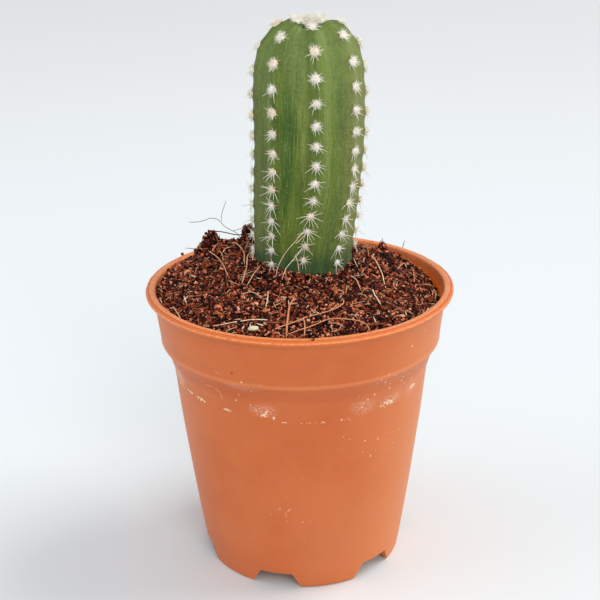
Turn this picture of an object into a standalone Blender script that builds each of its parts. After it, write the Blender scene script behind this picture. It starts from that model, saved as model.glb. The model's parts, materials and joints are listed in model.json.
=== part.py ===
"""A young ribbed column cactus in a small plastic nursery pot, as three solids.

Metres, +Z up. The origin is on the pot's axis at the surface it stands on,
and -Y is the front. Outlines are lists of (radius, height) in millimetres,
which outline() turns into metres.
"""
import math
import random

import bmesh
import bpy
from mathutils import Matrix, Vector, noise
from mathutils.geometry import delaunay_2d_cdt

MM = 0.001
GAP = 0.3 * MM

# Driving dimensions of the pot
LIP_RADIUS = 40.0 * MM
POT_HEIGHT = 76.2 * MM
LIP_WIDTH = 2.5 * MM
LIP_THICKNESS = 1.8 * MM
WALL = 1.0 * MM
COLLAR_AND_STEP = [(37.9, 73.4), (36.6, 63.4), (36.1, 61.5), (35.0, 58.8), (34.1, 56.6)]
BODY_TOP = (33.5 * MM, 53.8 * MM)
BODY_FOOT = (27.0 * MM, 2.6 * MM)
BODY_BULGE = 0.35 * MM
FOOT_RADIUS = 26.1 * MM
FOOT_RING_WIDTH = 1.3 * MM
FLOOR_UNDERSIDE = 5.0 * MM
FLOOR_TOP = 6.0 * MM
POT_SEGMENTS = 48

# Drainage of the pot: notches in the foot ring and holes in the floor
NOTCH_COUNT = 6
NOTCH_FIRST_ANGLE = -15.5
NOTCH_WIDTH_BELOW = 13.4 * MM
NOTCH_WIDTH_ABOVE = 8.6 * MM
NOTCH_HEIGHT = 4.5 * MM
DRAIN_HOLE_RADIUS = 2.2 * MM
DRAIN_HOLE_CIRCLE = 18.0 * MM
DRAIN_HOLE_SIDES = 10

# Driving dimensions of the stem
STEM_PLACE = Vector((0.8 * MM, 6.0 * MM, 0.0))
STEM_LEAN = 2.2 * MM
LEAN_HEIGHTS = (78.0 * MM, 116.0 * MM)
RIB_COUNT = 8
RIB_FIRST_ANGLE = 6.0
STEPS_PER_RIB = 5
CREST = [(4.5, 60.8), (8.4, 61.6), (11.2, 65.5), (12.5, 72.0), (12.8, 79.3), (13.1, 84.4),
         (13.5, 92.6), (13.85, 98.7), (14.05, 107.0), (14.25, 118.0), (14.2, 126.0),
         (13.7, 131.8), (12.9, 135.2), (11.5, 138.0), (9.6, 140.4), (7.4, 141.9),
         (5.2, 142.4), (3.0, 141.9), (1.3, 141.3)]
CREST_TOP = (0.0, 141.1)
FURROWS = [(78.0, 0.0), (82.0, 0.7), (96.0, 1.2), (115.0, 1.8), (134.0, 2.3), (141.0, 2.0),
           (142.4, 1.4)]
TUBERCLE_SWELLING = 0.16 * MM

# Areoles: the lowest one's height, and how the half step between neighbours grows upwards
AREOLE_START = 83.1 * MM
AREOLE_HALF_STEP = 1.62 * MM
AREOLE_STEP_GROWTH = 0.0322 * MM
AREOLE_LAST = 25
PAD_SIDES = 6
PAD_RADII = (0.62 * MM, 1.05 * MM)
PAD_RISE = 0.4 * MM
PAD_ROOT = 0.5 * MM
CROWN_PAD_RADIUS = 2.6 * MM
CROWN_PAD_RISE = 1.5 * MM

# Spines: thick enough to hold together, longest low on the stem
SPINE_THICKNESS = 0.34 * MM
SPINE_LENGTHS = (2.5 * MM, 1.5 * MM)
SPINE_FANS = [(-120.0, -58.0, 22.0, 84.0), (-84.0, -22.0, 58.0, 120.0)]
SPINE_SPREAD = 8.0
SPINE_LIFT = (24.0, 42.0)
CROWN_SPINES = 14
SPINE_SOIL_CLEARANCE = 0.7 * MM
PAD_SOIL_CLEARANCE = 1.5 * MM

# Soil: its level along the wall, its level round the stem, and the heaped clumps
SOIL_AT_WALL = 74.4 * MM
SOIL_DIP = (0.0, 30.0, 3.4 * MM)
SOIL_RISE = (128.0, 35.0, 1.3 * MM)
SOIL_AT_STEM = 80.2 * MM
SOIL_STEM_RISE = (150.0, 60.0, 2.0 * MM)
SOIL_CLUMPS = [(-22.0, 18.4, 5.0, 4.4), (-13.6, 19.8, 4.0, 3.8), (-28.0, 11.0, 1.4, 4.5),
               (12.0, -22.0, 0.9, 7.0), (-16.0, -16.0, 0.8, 6.0), (20.0, 18.0, 1.0, 5.0)]
SOIL_WAVES = (8.0 * MM, 0.7 * MM)
CRUMB_SPACING = 1.95 * MM
CRUMB_RELIEF = 0.75 * MM
CRUMB_SHUFFLE = 0.45 * MM
SOIL_WALL_STEPS = 84
SOIL_STEM_STEPS = 32

# Coir fibres: the start, the middle and the end of each as x and y on the soil and the lift
# above it, where an end with no lift is rooted
FIBRE_THICKNESS = 0.45 * MM
FIBRE_SIDES = 3
FIBRE_ROOT = 0.9 * MM
FIBRE_STEPS = 6
FIBRES = [
    [(-24.2, -25.5, 0.0), (-15.5, -26.5, 1.0), (-6.1, -25.5, 0.0)],
    [(-8.4, -32.8, 0.0), (3.5, -26.8, 1.0), (10.6, -16.9, 0.0)],
    [(-0.5, -31.0, 0.0), (9.0, -28.4, 2.2), (16.5, -30.5, 0.0)],
    [(-3.0, -20.5, 0.0), (-3.6, -26.5, 1.0), (-3.4, -33.0, 0.0)],
    [(-25.2, 16.5, 0.0), (-21.2, 7.6, 1.2), (-18.2, -4.5, 0.0)],
    [(-19.5, 17.5, 0.0), (-14.6, 5.0, 1.2), (-15.0, -9.0, 0.0)],
    [(20.2, 21.4, 0.0), (21.6, 6.7, 1.4), (22.5, -4.4, 0.0)],
    [(26.7, 12.5, 0.0), (29.4, 16.5, 1.6), (31.4, 12.6, 0.0)],
    [(-8.2, -14.3, 0.0), (-7.6, -18.5, 0.9), (-8.1, -22.7, 0.0)],
    [(-32.0, -12.5, 0.0), (-30.6, -17.6, 0.9), (-28.7, -21.8, 0.0)],
    [(-17.0, 20.0, 0.0), (-21.8, 20.0, 6.0), (-28.7, 19.0, 9.5)],
    [(6.0, 29.5, 0.0), (14.0, 30.0, 1.6), (23.5, 24.5, 0.0)],
    [(-2.0, 27.5, 0.0), (-9.0, 31.5, 1.2), (-18.5, 28.5, 0.0)],
]


def material(name, colour, roughness):
    made = bpy.data.materials.new(name)
    made.use_nodes = True
    shader = made.node_tree.nodes["Principled BSDF"]
    shader.inputs["Base Color"].default_value = (*colour, 1.0)
    shader.inputs["Roughness"].default_value = roughness
    shader.inputs["Metallic"].default_value = 0.0
    return made


def new_object(name, bm, finish=None, collection=None):
    mesh = bpy.data.meshes.new(name)
    bm.to_mesh(mesh)
    bm.free()
    made = bpy.data.objects.new(name, mesh)
    (collection or bpy.context.scene.collection).objects.link(made)
    if finish:
        mesh.materials.append(finish)
    return made


def smooth(made, angle):
    made.data.shade_smooth()
    made.data.set_sharp_from_angle(angle=math.radians(angle))


def outline(points):
    return [(radius * MM, height * MM) for radius, height in points]


def facing(angle):
    """Horizontal direction at an angle in degrees from the front towards +X."""
    turn = math.radians(angle)
    return Vector((math.sin(turn), -math.cos(turn), 0.0))


def ease(value, low, high):
    """0 below low, 1 above high and a smooth slope between."""
    share = min(1.0, max(0.0, (value - low) / (high - low)))
    return share * share * (3.0 - 2.0 * share)


def between(table, value):
    """Straight-line reading of a table of (place, amount) pairs."""
    if value <= table[0][0]:
        return table[0][1]
    for (low, first), (high, second) in zip(table, table[1:]):
        if value <= high:
            return first + (second - first) * (value - low) / (high - low)
    return table[-1][1]


# The pot

def pot_side():
    """Outer side of the pot from the collar's top down to the foot."""
    side = outline(COLLAR_AND_STEP)
    steps = 5
    for step in range(steps + 1):
        share = step / steps
        radius = BODY_TOP[0] + (BODY_FOOT[0] - BODY_TOP[0]) * share
        radius += BODY_BULGE * 4.0 * share * (1.0 - share)
        side.append((radius, BODY_TOP[1] + (BODY_FOOT[1] - BODY_TOP[1]) * share))
    return side


def pot_outer_radius(height):
    side = [(level, radius) for radius, level in reversed(pot_side())]
    return between(side, height)


def pot_inner_radius(height):
    return pot_outer_radius(height) - WALL


def pot_profile():
    """Half section of the pot: down the outside, under the foot and back up the inside."""
    lip_centre = LIP_RADIUS - LIP_WIDTH / 2
    lip_top = POT_HEIGHT - LIP_THICKNESS / 2
    profile = []
    for angle in (180, 135, 90, 50, 15, -25, -62):
        turn = math.radians(angle)
        profile.append((lip_centre + LIP_WIDTH / 2 * math.cos(turn),
                        lip_top + LIP_THICKNESS / 2 * math.sin(turn)))
    profile += pot_side()
    profile.append((FOOT_RADIUS, 0.0))
    profile.append((FOOT_RADIUS - FOOT_RING_WIDTH, 0.0))
    profile.append((BODY_FOOT[0] - FOOT_RING_WIDTH + 0.3 * MM, FLOOR_UNDERSIDE))
    profile.append((0.0, FLOOR_UNDERSIDE))
    profile.append((0.0, FLOOR_TOP))
    for height in (FLOOR_TOP, BODY_TOP[1] * 0.5, BODY_TOP[1]):
        profile.append((pot_inner_radius(height), height))
    for radius, height in reversed(outline(COLLAR_AND_STEP)):
        profile.append((radius - WALL, height))
    return profile


def notch_cutter(angle):
    """Trapezoid bar that reaches out through the foot ring."""
    reach_in, reach_out = FOOT_RADIUS * 0.75, FOOT_RADIUS * 1.25
    below, above = -1.0 * MM, NOTCH_HEIGHT
    flare = (NOTCH_WIDTH_BELOW - NOTCH_WIDTH_ABOVE) / NOTCH_HEIGHT
    outwards = facing(angle)
    along = Vector((-outwards.y, outwards.x, 0.0))
    bm = bmesh.new()
    corners = []
    for height in (below, above):
        half = (NOTCH_WIDTH_BELOW - flare * height) / 2
        for reach, side in ((reach_in, -1), (reach_out, -1), (reach_out, 1), (reach_in, 1)):
            place = outwards * reach + along * side * half
            corners.append(bm.verts.new((place.x, place.y, height)))
    bmesh.ops.convex_hull(bm, input=corners)
    return bm


def drain_cutter(angle):
    bm = bmesh.new()
    place = Matrix.Translation(facing(angle) * DRAIN_HOLE_CIRCLE + Vector((0, 0, FLOOR_TOP)))
    bmesh.ops.create_cone(bm, cap_ends=True, segments=DRAIN_HOLE_SIDES, depth=4 * WALL,
                          radius1=DRAIN_HOLE_RADIUS, radius2=DRAIN_HOLE_RADIUS, matrix=place)
    return bm


def combine(base, pieces, operation, solver):
    """One Boolean of a collection's objects on the base, applied and tidied away."""
    modifier = base.modifiers.new("combine", "BOOLEAN")
    modifier.operation = operation
    modifier.operand_type = "COLLECTION"
    modifier.collection = pieces
    modifier.solver = solver
    depsgraph = bpy.context.evaluated_depsgraph_get()
    result = bpy.data.meshes.new_from_object(base.evaluated_get(depsgraph))
    base.modifiers.clear()
    base.data = result
    result.name = base.name
    for piece in list(pieces.objects):
        bpy.data.objects.remove(piece)
    bpy.data.collections.remove(pieces)


def new_collection(name):
    made = bpy.data.collections.new(name)
    bpy.context.scene.collection.children.link(made)
    return made


def make_pot():
    bm = bmesh.new()
    profile = pot_profile()
    points = [bm.verts.new((radius, 0.0, height)) for radius, height in profile]
    edges = [bm.edges.new(pair) for pair in zip(points, points[1:] + points[:1])
             if pair[0].co.x > 0 or pair[1].co.x > 0]
    bmesh.ops.spin(bm, geom=edges, cent=(0, 0, 0), axis=(0, 0, 1), angle=math.tau,
                   steps=POT_SEGMENTS, use_merge=True)
    bmesh.ops.remove_doubles(bm, verts=bm.verts, dist=0.01 * MM)
    bmesh.ops.recalc_face_normals(bm, faces=bm.faces)
    pot = new_object("pot", bm, material("terracotta_plastic", (0.56, 0.155, 0.065), 0.42))
    cutters = new_collection("pot_cutters")
    for index in range(NOTCH_COUNT):
        angle = NOTCH_FIRST_ANGLE + index * 360.0 / NOTCH_COUNT
        new_object("notch", notch_cutter(angle), collection=cutters)
        new_object("drain", drain_cutter(angle), collection=cutters)
    combine(pot, cutters, "DIFFERENCE", "EXACT")
    smooth(pot, 35)
    return pot


# The stem's form

def smooth_outline(points, steps):
    """Points on a curve that passes through an outline's points."""
    points = outline(points)
    last = len(points) - 1
    curve = []
    for index in range(last):
        four = [Vector(points[min(last, max(0, index + shift))]) for shift in (-1, 0, 1, 2)]
        for step in range(steps):
            t = step / steps
            curve.append(0.5 * (2 * four[1] + (four[2] - four[0]) * t
                                + (2 * four[0] - 5 * four[1] + 4 * four[2] - four[3]) * t * t
                                + (3 * four[1] - four[0] - 3 * four[2] + four[3]) * t ** 3))
    curve.append(Vector(points[last]))
    return curve


class Crest:
    """The line along a rib's crest, read by the length along it from the lowest areole."""

    def __init__(self):
        self.points = smooth_outline(CREST, 8)
        self.lengths = [0.0]
        for first, second in zip(self.points, self.points[1:]):
            self.lengths.append(self.lengths[-1] + (second - first).length)
        start = min(range(len(self.points)),
                    key=lambda index: abs(self.points[index].y - AREOLE_START)
                    if self.points[index].x > 12 * MM else 1.0)
        offset = self.lengths[start]
        self.lengths = [length - offset for length in self.lengths]

    def at(self, length):
        """Radius and height there, with the outward direction as (radius, height)."""
        index = 1
        while index < len(self.lengths) - 1 and self.lengths[index] < length:
            index += 1
        first, second = self.points[index - 1], self.points[index]
        span = self.lengths[index] - self.lengths[index - 1]
        place = first + (second - first) * ((length - self.lengths[index - 1]) / span)
        along = (second - first).normalized()
        return place, Vector((along.y, -along.x))


def stem_centre(height):
    lean = STEM_LEAN * ease(height, *LEAN_HEIGHTS)
    return STEM_PLACE + Vector((lean, 0.0, 0.0))


def furrow_depth(height):
    return between(FURROWS, height / MM) * MM


def stem_point(crest, length, angle, swelling=0.0):
    """Point of the stem's skin at a length up the crest line and an angle round it."""
    place, outwards = crest.at(length)
    rib_angle = 360.0 / RIB_COUNT
    beside = ((angle - RIB_FIRST_ANGLE) / rib_angle + 0.5) % 1.0 - 0.5
    sink = furrow_depth(place.y) * math.sin(math.pi * abs(beside)) ** 1.6
    place = place + outwards * (swelling * math.cos(math.pi * beside) ** 2 - sink)
    centre = stem_centre(place.y)
    side = facing(angle) * place.x
    return Vector((centre.x + side.x, centre.y + side.y, place.y))


def areole_length(index):
    return AREOLE_HALF_STEP * index + AREOLE_STEP_GROWTH * index * index


def make_stem_body(crest):
    around = RIB_COUNT * STEPS_PER_RIB
    lengths = [crest.lengths[0], -20.6 * MM, -16.5 * MM, -11.0 * MM, -6.0 * MM, -2.6 * MM]
    lengths += [areole_length(index) for index in range(AREOLE_LAST + 1)]
    last = lengths[-1]
    lengths += [last + (crest.lengths[-1] - last) * share for share in (0.3, 0.6, 0.82, 1.0)]
    bm = bmesh.new()
    rings = []
    for level, length in enumerate(lengths):
        ring = []
        areole = level - 6
        for step in range(around):
            rib = step // STEPS_PER_RIB
            swelling = 0.0
            if 0 <= areole <= AREOLE_LAST:
                swelling = TUBERCLE_SWELLING * (1 if areole % 2 != rib % 2 else -1)
            angle = RIB_FIRST_ANGLE + step * 360.0 / around
            ring.append(bm.verts.new(stem_point(crest, length, angle, swelling)))
        rings.append(ring)
    for lower, upper in zip(rings, rings[1:]):
        for step in range(around):
            after = (step + 1) % around
            bm.faces.new((lower[step], lower[after], upper[after], upper[step]))
    bm.faces.new(list(reversed(rings[0])))
    top = stem_centre(CREST_TOP[1] * MM) + Vector((0.0, 0.0, CREST_TOP[1] * MM))
    peak = bm.verts.new(top)
    for step in range(around):
        bm.faces.new((rings[-1][step], rings[-1][(step + 1) % around], peak))
    bmesh.ops.triangulate(bm, faces=bm.faces)
    bmesh.ops.recalc_face_normals(bm, faces=bm.faces)
    return bm


def make_cone(start, direction, sides, wide, narrow, length):
    """Cone or frustum from a point along a direction."""
    bm = bmesh.new()
    turn = direction.to_track_quat("Z", "Y").to_matrix().to_4x4()
    place = Matrix.Translation(start + direction * length / 2) @ turn
    bmesh.ops.create_cone(bm, cap_ends=True, segments=sides, radius1=wide, radius2=narrow,
                          depth=length, matrix=place)
    return bm


def add_areole(crest, index, angle, draws, pieces):
    """A woolly pad on a rib's crest with a fan of spines rooted in it."""
    height_share = index / AREOLE_LAST
    length = areole_length(index)
    place = stem_point(crest, length, angle, TUBERCLE_SWELLING)
    above = stem_point(crest, length + 0.5 * MM, angle, TUBERCLE_SWELLING)
    below = stem_point(crest, length - 0.5 * MM, angle, TUBERCLE_SWELLING)
    upwards = (above - below).normalized()
    outwards = (facing(angle) - upwards * facing(angle).dot(upwards)).normalized()
    if outwards.length < 0.5:
        outwards = facing(angle)
    sideways = upwards.cross(outwards)
    if place.z < soil_height(place.x, place.y) + PAD_SOIL_CLEARANCE:
        return
    radius = PAD_RADII[0] + (PAD_RADII[1] - PAD_RADII[0]) * ease(height_share, 0.1, 0.75)
    pad = make_cone(place - outwards * PAD_ROOT, outwards, PAD_SIDES, radius * 1.15,
                    radius * 0.7, PAD_ROOT + PAD_RISE)
    new_object("pad", pad, collection=pieces)
    long, short = SPINE_LENGTHS
    reach = long + (short - long) * ease(height_share, 0.2, 0.8)
    for fan in SPINE_FANS[index // 2 % 2]:
        turn = math.radians(fan + draws.uniform(-SPINE_SPREAD, SPINE_SPREAD))
        lift = math.radians(draws.uniform(*SPINE_LIFT))
        flat = sideways * math.sin(turn) - upwards * math.cos(turn)
        aim = (flat * math.cos(lift) + outwards * math.sin(lift)).normalized()
        size = reach * draws.uniform(0.85, 1.15)
        root = place - outwards * PAD_ROOT * 0.6
        tip = root + aim * size
        if tip.z < soil_height(tip.x, tip.y) + SPINE_SOIL_CLEARANCE:
            continue
        spine = make_cone(root, aim, 3, SPINE_THICKNESS / 2, 0.0, size)
        new_object("spine", spine, collection=pieces)


def add_crown(draws, pieces):
    """The woolly tip of the stem with its upright young spines."""
    top = stem_centre(CREST_TOP[1] * MM) + Vector((0.0, 0.0, CREST_TOP[1] * MM))
    up = Vector((0.0, 0.0, 1.0))
    wool = make_cone(top - up * PAD_ROOT * 2, up, 10, CROWN_PAD_RADIUS,
                     CROWN_PAD_RADIUS * 0.55, PAD_ROOT * 2 + CROWN_PAD_RISE)
    new_object("wool", wool, collection=pieces)
    for index in range(CROWN_SPINES):
        angle = 360.0 * index / CROWN_SPINES + draws.uniform(-8, 8)
        lean = facing(angle) * draws.uniform(0.25, 0.75)
        root = top + facing(angle) * CROWN_PAD_RADIUS * draws.uniform(0.2, 0.6)
        aim = (up + lean).normalized()
        spine = make_cone(root, aim, 3, SPINE_THICKNESS / 2, 0.0,
                          3.1 * MM * draws.uniform(0.85, 1.1))
        new_object("spine", spine, collection=pieces)


def make_cactus(crest):
    finish = material("green_skin", (0.075, 0.18, 0.035), 0.5)
    body = make_stem_body(crest)
    cactus = new_object("cactus", body, finish)
    pieces = new_collection("cactus_repeats")
    draws = random.Random(8)
    for rib in range(RIB_COUNT):
        angle = RIB_FIRST_ANGLE + rib * 360.0 / RIB_COUNT
        for index in range(AREOLE_LAST + 1):
            if index % 2 != rib % 2:
                add_areole(crest, index, angle, draws, pieces)
    add_crown(draws, pieces)
    combine(cactus, pieces, "UNION", "MANIFOLD")
    smooth(cactus, 40)
    return cactus


# The soil

def bell(angle, centre, width):
    away = (angle - centre + 180.0) % 360.0 - 180.0
    return math.exp(-((away / width) ** 2))


def stem_radius_at(height):
    """Crest radius of the standing part of the stem at a height."""
    table = [(level * MM, radius * MM) for radius, level in CREST if level < 127.0]
    return between(table, height)


def soil_height(x, y):
    """Height of the soil's surface, without its crumbs."""
    from_axis = math.hypot(x, y)
    angle = math.degrees(math.atan2(y, x))
    at_wall = SOIL_AT_WALL - SOIL_DIP[2] * bell(angle, *SOIL_DIP[:2])
    at_wall += SOIL_RISE[2] * bell(angle, *SOIL_RISE[:2])
    stem_x, stem_y = x - STEM_PLACE.x, y - STEM_PLACE.y
    stem_angle = math.degrees(math.atan2(stem_y, stem_x))
    at_stem = SOIL_AT_STEM + SOIL_STEM_RISE[2] * bell(stem_angle, *SOIL_STEM_RISE[:2])
    to_stem = max(0.0, math.hypot(stem_x, stem_y) - stem_radius_at(at_stem))
    to_wall = max(0.0, pot_inner_radius(at_wall) - from_axis)
    share = to_stem / max(to_stem + to_wall, 0.1 * MM)
    height = at_stem + (at_wall - at_stem) * share ** 0.9
    for centre_x, centre_y, rise, spread in SOIL_CLUMPS:
        away = math.hypot(x - centre_x * MM, y - centre_y * MM) / (spread * MM)
        height += rise * MM * math.exp(-away * away)
    wave = noise.noise(Vector((x, y, 0.0)) / SOIL_WAVES[0])
    return height + SOIL_WAVES[1] * wave * math.sin(math.pi * min(1.0, max(0.0, share)))


def soil_edges():
    """The soil's outer edge along the wall and its inner edge round the stem."""
    outer, inner = [], []
    for step in range(SOIL_WALL_STEPS):
        turn = math.tau * step / SOIL_WALL_STEPS
        direction = Vector((math.cos(turn), math.sin(turn), 0.0))
        edge = direction * (pot_inner_radius(SOIL_AT_WALL) - GAP)
        height = soil_height(edge.x, edge.y)
        place = direction * (pot_inner_radius(min(height, 73.0 * MM)) - GAP)
        outer.append(Vector((place.x, place.y, height)))
    for step in range(SOIL_STEM_STEPS):
        turn = math.tau * step / SOIL_STEM_STEPS
        direction = Vector((math.cos(turn), math.sin(turn), 0.0))
        edge = STEM_PLACE + direction * stem_radius_at(SOIL_AT_STEM)
        height = soil_height(edge.x, edge.y)
        place = stem_centre(height) + direction * (stem_radius_at(height) + GAP * 1.3)
        inner.append(Vector((place.x, place.y, height)))
    return outer, inner


def crumb_places(outer, inner, draws):
    """Shuffled points of an even triangle pattern, between the two edges."""
    places = []
    row_height = CRUMB_SPACING * math.sqrt(3) / 2
    reach = int(LIP_RADIUS / row_height) + 1
    margin = CRUMB_SPACING * 0.62
    hole = sum(inner, Vector()) / len(inner)
    hole_radius = max((place - hole).xy.length for place in inner)
    for row in range(-reach, reach + 1):
        for column in range(-reach, reach + 1):
            x = (column + 0.5 * (row % 2)) * CRUMB_SPACING
            y = row * row_height
            x += draws.uniform(-CRUMB_SHUFFLE, CRUMB_SHUFFLE)
            y += draws.uniform(-CRUMB_SHUFFLE, CRUMB_SHUFFLE)
            place = Vector((x, y))
            angle = math.atan2(y, x) % math.tau
            nearest = outer[round(angle / math.tau * len(outer)) % len(outer)]
            if place.length > nearest.xy.length - margin:
                continue
            if (place - hole.xy).length < hole_radius + margin:
                continue
            places.append(place)
    return places


def make_soil_top(bm, draws):
    """The crumbly surface, with its two edge loops in order."""
    outer, inner = soil_edges()
    places = crumb_places(outer, inner, draws)
    points = [edge.xy for edge in outer + inner] + places
    count, hole_count = len(outer), len(inner)
    edges = [(index, (index + 1) % count) for index in range(count)]
    edges += [(count + index, count + (index + 1) % hole_count) for index in range(hole_count)]
    flat, _, faces, _, _, _ = delaunay_2d_cdt(points, edges, [], 1, 1e-7)
    hole_indices = range(count, count + hole_count)
    verts = []
    for index, place in enumerate(flat):
        if index < count:
            height = outer[index].z
        elif index < count + hole_count:
            height = inner[index - count].z
        else:
            relief = draws.uniform(-CRUMB_RELIEF, CRUMB_RELIEF)
            height = soil_height(place.x, place.y) + relief
        verts.append(bm.verts.new((place.x, place.y, height)))
    for face in faces:
        if not all(index in hole_indices for index in face):
            bm.faces.new([verts[index] for index in face])
    return verts[:count], verts[count:count + hole_count]


def make_soil_sides(bm, outer_loop, inner_loop, crest_table):
    """The sides along the pot's wall, the bottom, and the plain hole for the stem."""
    loops = [outer_loop]
    for height in (61.0 * MM, 56.0 * MM, BODY_TOP[1] * 0.5, FLOOR_TOP + GAP):
        radius = pot_inner_radius(height) - GAP * 1.2
        ring = []
        for vert in outer_loop:
            direction = Vector((vert.co.x, vert.co.y, 0.0)).normalized()
            ring.append(bm.verts.new((direction.x * radius, direction.y * radius, height)))
        loops.append(ring)
    for upper, lower in zip(loops, loops[1:]):
        for step in range(len(upper)):
            after = (step + 1) % len(upper)
            bm.faces.new((upper[after], upper[step], lower[step], lower[after]))
    bm.faces.new(list(reversed(loops[-1])))
    loops = [inner_loop]
    for radius, height in crest_table:
        ring = []
        for step in range(len(inner_loop)):
            turn = math.tau * step / len(inner_loop)
            place = STEM_PLACE + Vector((math.cos(turn), math.sin(turn), 0.0)) * radius
            ring.append(bm.verts.new((place.x, place.y, height)))
        loops.append(ring)
    for upper, lower in zip(loops, loops[1:]):
        for step in range(len(upper)):
            after = (step + 1) % len(upper)
            bm.faces.new((upper[step], upper[after], lower[after], lower[step]))
    bm.faces.new(loops[-1])


def stem_hole():
    """Radius and height of the hole's rings below the surface, just clear of the stem."""
    rings = [(12.5, 72.0), (11.2, 65.5), (8.4, 61.6)]
    clear = [(radius * MM + GAP * 1.4, height * MM - GAP) for radius, height in rings]
    return clear + [(4.5 * MM, 60.8 * MM - GAP)]


def fibre_mesh(points):
    """A thin bent bar through three points, with its grounded ends sunk into the soil."""
    first, middle, last = [Vector(point) * MM for point in points]
    control = middle * 2 - (first + last) / 2
    route = []
    for step in range(FIBRE_STEPS + 1):
        share = step / FIBRE_STEPS
        place = (first * (1 - share) ** 2 + control * 2 * share * (1 - share)
                 + last * share ** 2)
        at_end = step in (0, FIBRE_STEPS)
        root = FIBRE_ROOT if at_end and place.z < GAP else -FIBRE_THICKNESS / 3
        place.z += soil_height(place.x, place.y) - root
        route.append(place)
    bm = bmesh.new()
    rings = []
    for index, place in enumerate(route):
        before, after = route[max(0, index - 1)], route[min(len(route) - 1, index + 1)]
        turn = (after - before).to_track_quat("Z", "Y")
        ring = []
        for side in range(FIBRE_SIDES):
            angle = math.tau * side / FIBRE_SIDES
            arm = Vector((math.cos(angle), math.sin(angle), 0.0)) * FIBRE_THICKNESS / 2
            ring.append(bm.verts.new(place + turn @ arm))
        rings.append(ring)
    for lower, upper in zip(rings, rings[1:]):
        for side in range(FIBRE_SIDES):
            after = (side + 1) % FIBRE_SIDES
            bm.faces.new((lower[side], lower[after], upper[after], upper[side]))
    bm.faces.new(list(reversed(rings[0])))
    bm.faces.new(rings[-1])
    bmesh.ops.triangulate(bm, faces=bm.faces)
    bmesh.ops.recalc_face_normals(bm, faces=bm.faces)
    return bm


def make_soil():
    bm = bmesh.new()
    draws = random.Random(5)
    outer_loop, inner_loop = make_soil_top(bm, draws)
    make_soil_sides(bm, outer_loop, inner_loop, stem_hole())
    bmesh.ops.triangulate(bm, faces=bm.faces)
    bmesh.ops.recalc_face_normals(bm, faces=bm.faces)
    soil = new_object("soil", bm, material("coir", (0.10, 0.032, 0.014), 0.9))
    fibres = new_collection("soil_fibres")
    for points in FIBRES:
        new_object("fibre", fibre_mesh(points), collection=fibres)
    combine(soil, fibres, "UNION", "MANIFOLD")
    return soil


def main():
    for old in list(bpy.data.objects):
        bpy.data.objects.remove(old)
    make_pot()
    make_soil()
    make_cactus(Crest())


main()
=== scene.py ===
# %% [markdown]
# A potted column cactus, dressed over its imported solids
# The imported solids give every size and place. This file makes the surfaces that a close look
# needs: a moulded plastic pot, loose coir, a ribbed green stem, wool and spines. We load the
# solids first, because each new piece is set against them.

# %% Load the frame
import json
import math
import random

import bmesh
import bpy
from mathutils import Matrix, Vector, noise

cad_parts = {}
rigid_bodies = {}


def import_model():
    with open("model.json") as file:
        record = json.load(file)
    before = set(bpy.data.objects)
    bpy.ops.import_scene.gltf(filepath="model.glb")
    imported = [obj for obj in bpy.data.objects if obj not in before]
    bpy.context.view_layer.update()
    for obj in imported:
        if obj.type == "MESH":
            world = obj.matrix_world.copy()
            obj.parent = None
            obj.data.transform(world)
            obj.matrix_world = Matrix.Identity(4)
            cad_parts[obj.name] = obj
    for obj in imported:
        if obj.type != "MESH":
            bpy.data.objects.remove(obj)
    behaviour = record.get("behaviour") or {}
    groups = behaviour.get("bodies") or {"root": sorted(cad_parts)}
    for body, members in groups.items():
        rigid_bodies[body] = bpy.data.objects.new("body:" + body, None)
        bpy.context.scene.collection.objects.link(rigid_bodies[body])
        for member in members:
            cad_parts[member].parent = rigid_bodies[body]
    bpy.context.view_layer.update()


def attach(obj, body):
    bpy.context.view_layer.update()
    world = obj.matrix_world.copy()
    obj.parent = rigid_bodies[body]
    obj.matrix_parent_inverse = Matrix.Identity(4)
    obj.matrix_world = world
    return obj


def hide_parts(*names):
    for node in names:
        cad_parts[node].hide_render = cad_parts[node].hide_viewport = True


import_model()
MM = 0.001

# %% [markdown]
# The camera
# A photograph's view can be set by the lens, the height, the pitch and a small roll. The pot's
# round lip gives them away: its ellipse says how steeply we look down, and the taper of the
# pot says how near we stand. We use a short telephoto lens, as product photographs do.

# %% Camera
LENS = 72.0
CAMERA_PLACE = Vector((0.0, -293.8 * MM, 185.1 * MM))
CAMERA_PITCH = 21.23
CAMERA_ROLL = -0.76

camera_data = bpy.data.cameras.new("camera")
camera_data.lens = LENS
camera_data.sensor_width = 36.0
camera_data.clip_start = 0.01
camera = bpy.data.objects.new("camera", camera_data)
bpy.context.scene.collection.objects.link(camera)
camera.matrix_world = (Matrix.Translation(CAMERA_PLACE)
                       @ Matrix.Rotation(math.radians(90.0 - CAMERA_PITCH), 4, "X")
                       @ Matrix.Rotation(math.radians(CAMERA_ROLL), 4, "Z"))
bpy.context.scene.camera = camera
print("camera at", tuple(round(value, 3) for value in camera.location))

# %% [markdown]
# Floor and light
# A bright table top and wide soft lamps give the pale, nearly shadowless look of a shop
# photograph. A large lamp high on the right models the forms, a weaker one lights the front,
# a small one at the left opens the shadows, and the world fills in the rest.

# %% Floor and lights
FLOOR_SIZE = 6.0
WORLD_STRENGTH = 0.63
LAMP_TARGET = Vector((0.0, 0.0, 0.07))
# Name, place and size in metres, power in watts, and colour
LAMPS = [
    ("key", (4.2, 1.1, 5.0), 4.4, 244.0, (1.0, 0.98, 0.94)),
    ("front", (1.0, -3.3, 2.3), 2.4, 62.0, (1.0, 0.98, 0.95)),
    ("fill", (-2.6, -0.3, 1.7), 2.4, 18.0, (0.93, 0.96, 1.0)),
]

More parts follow.
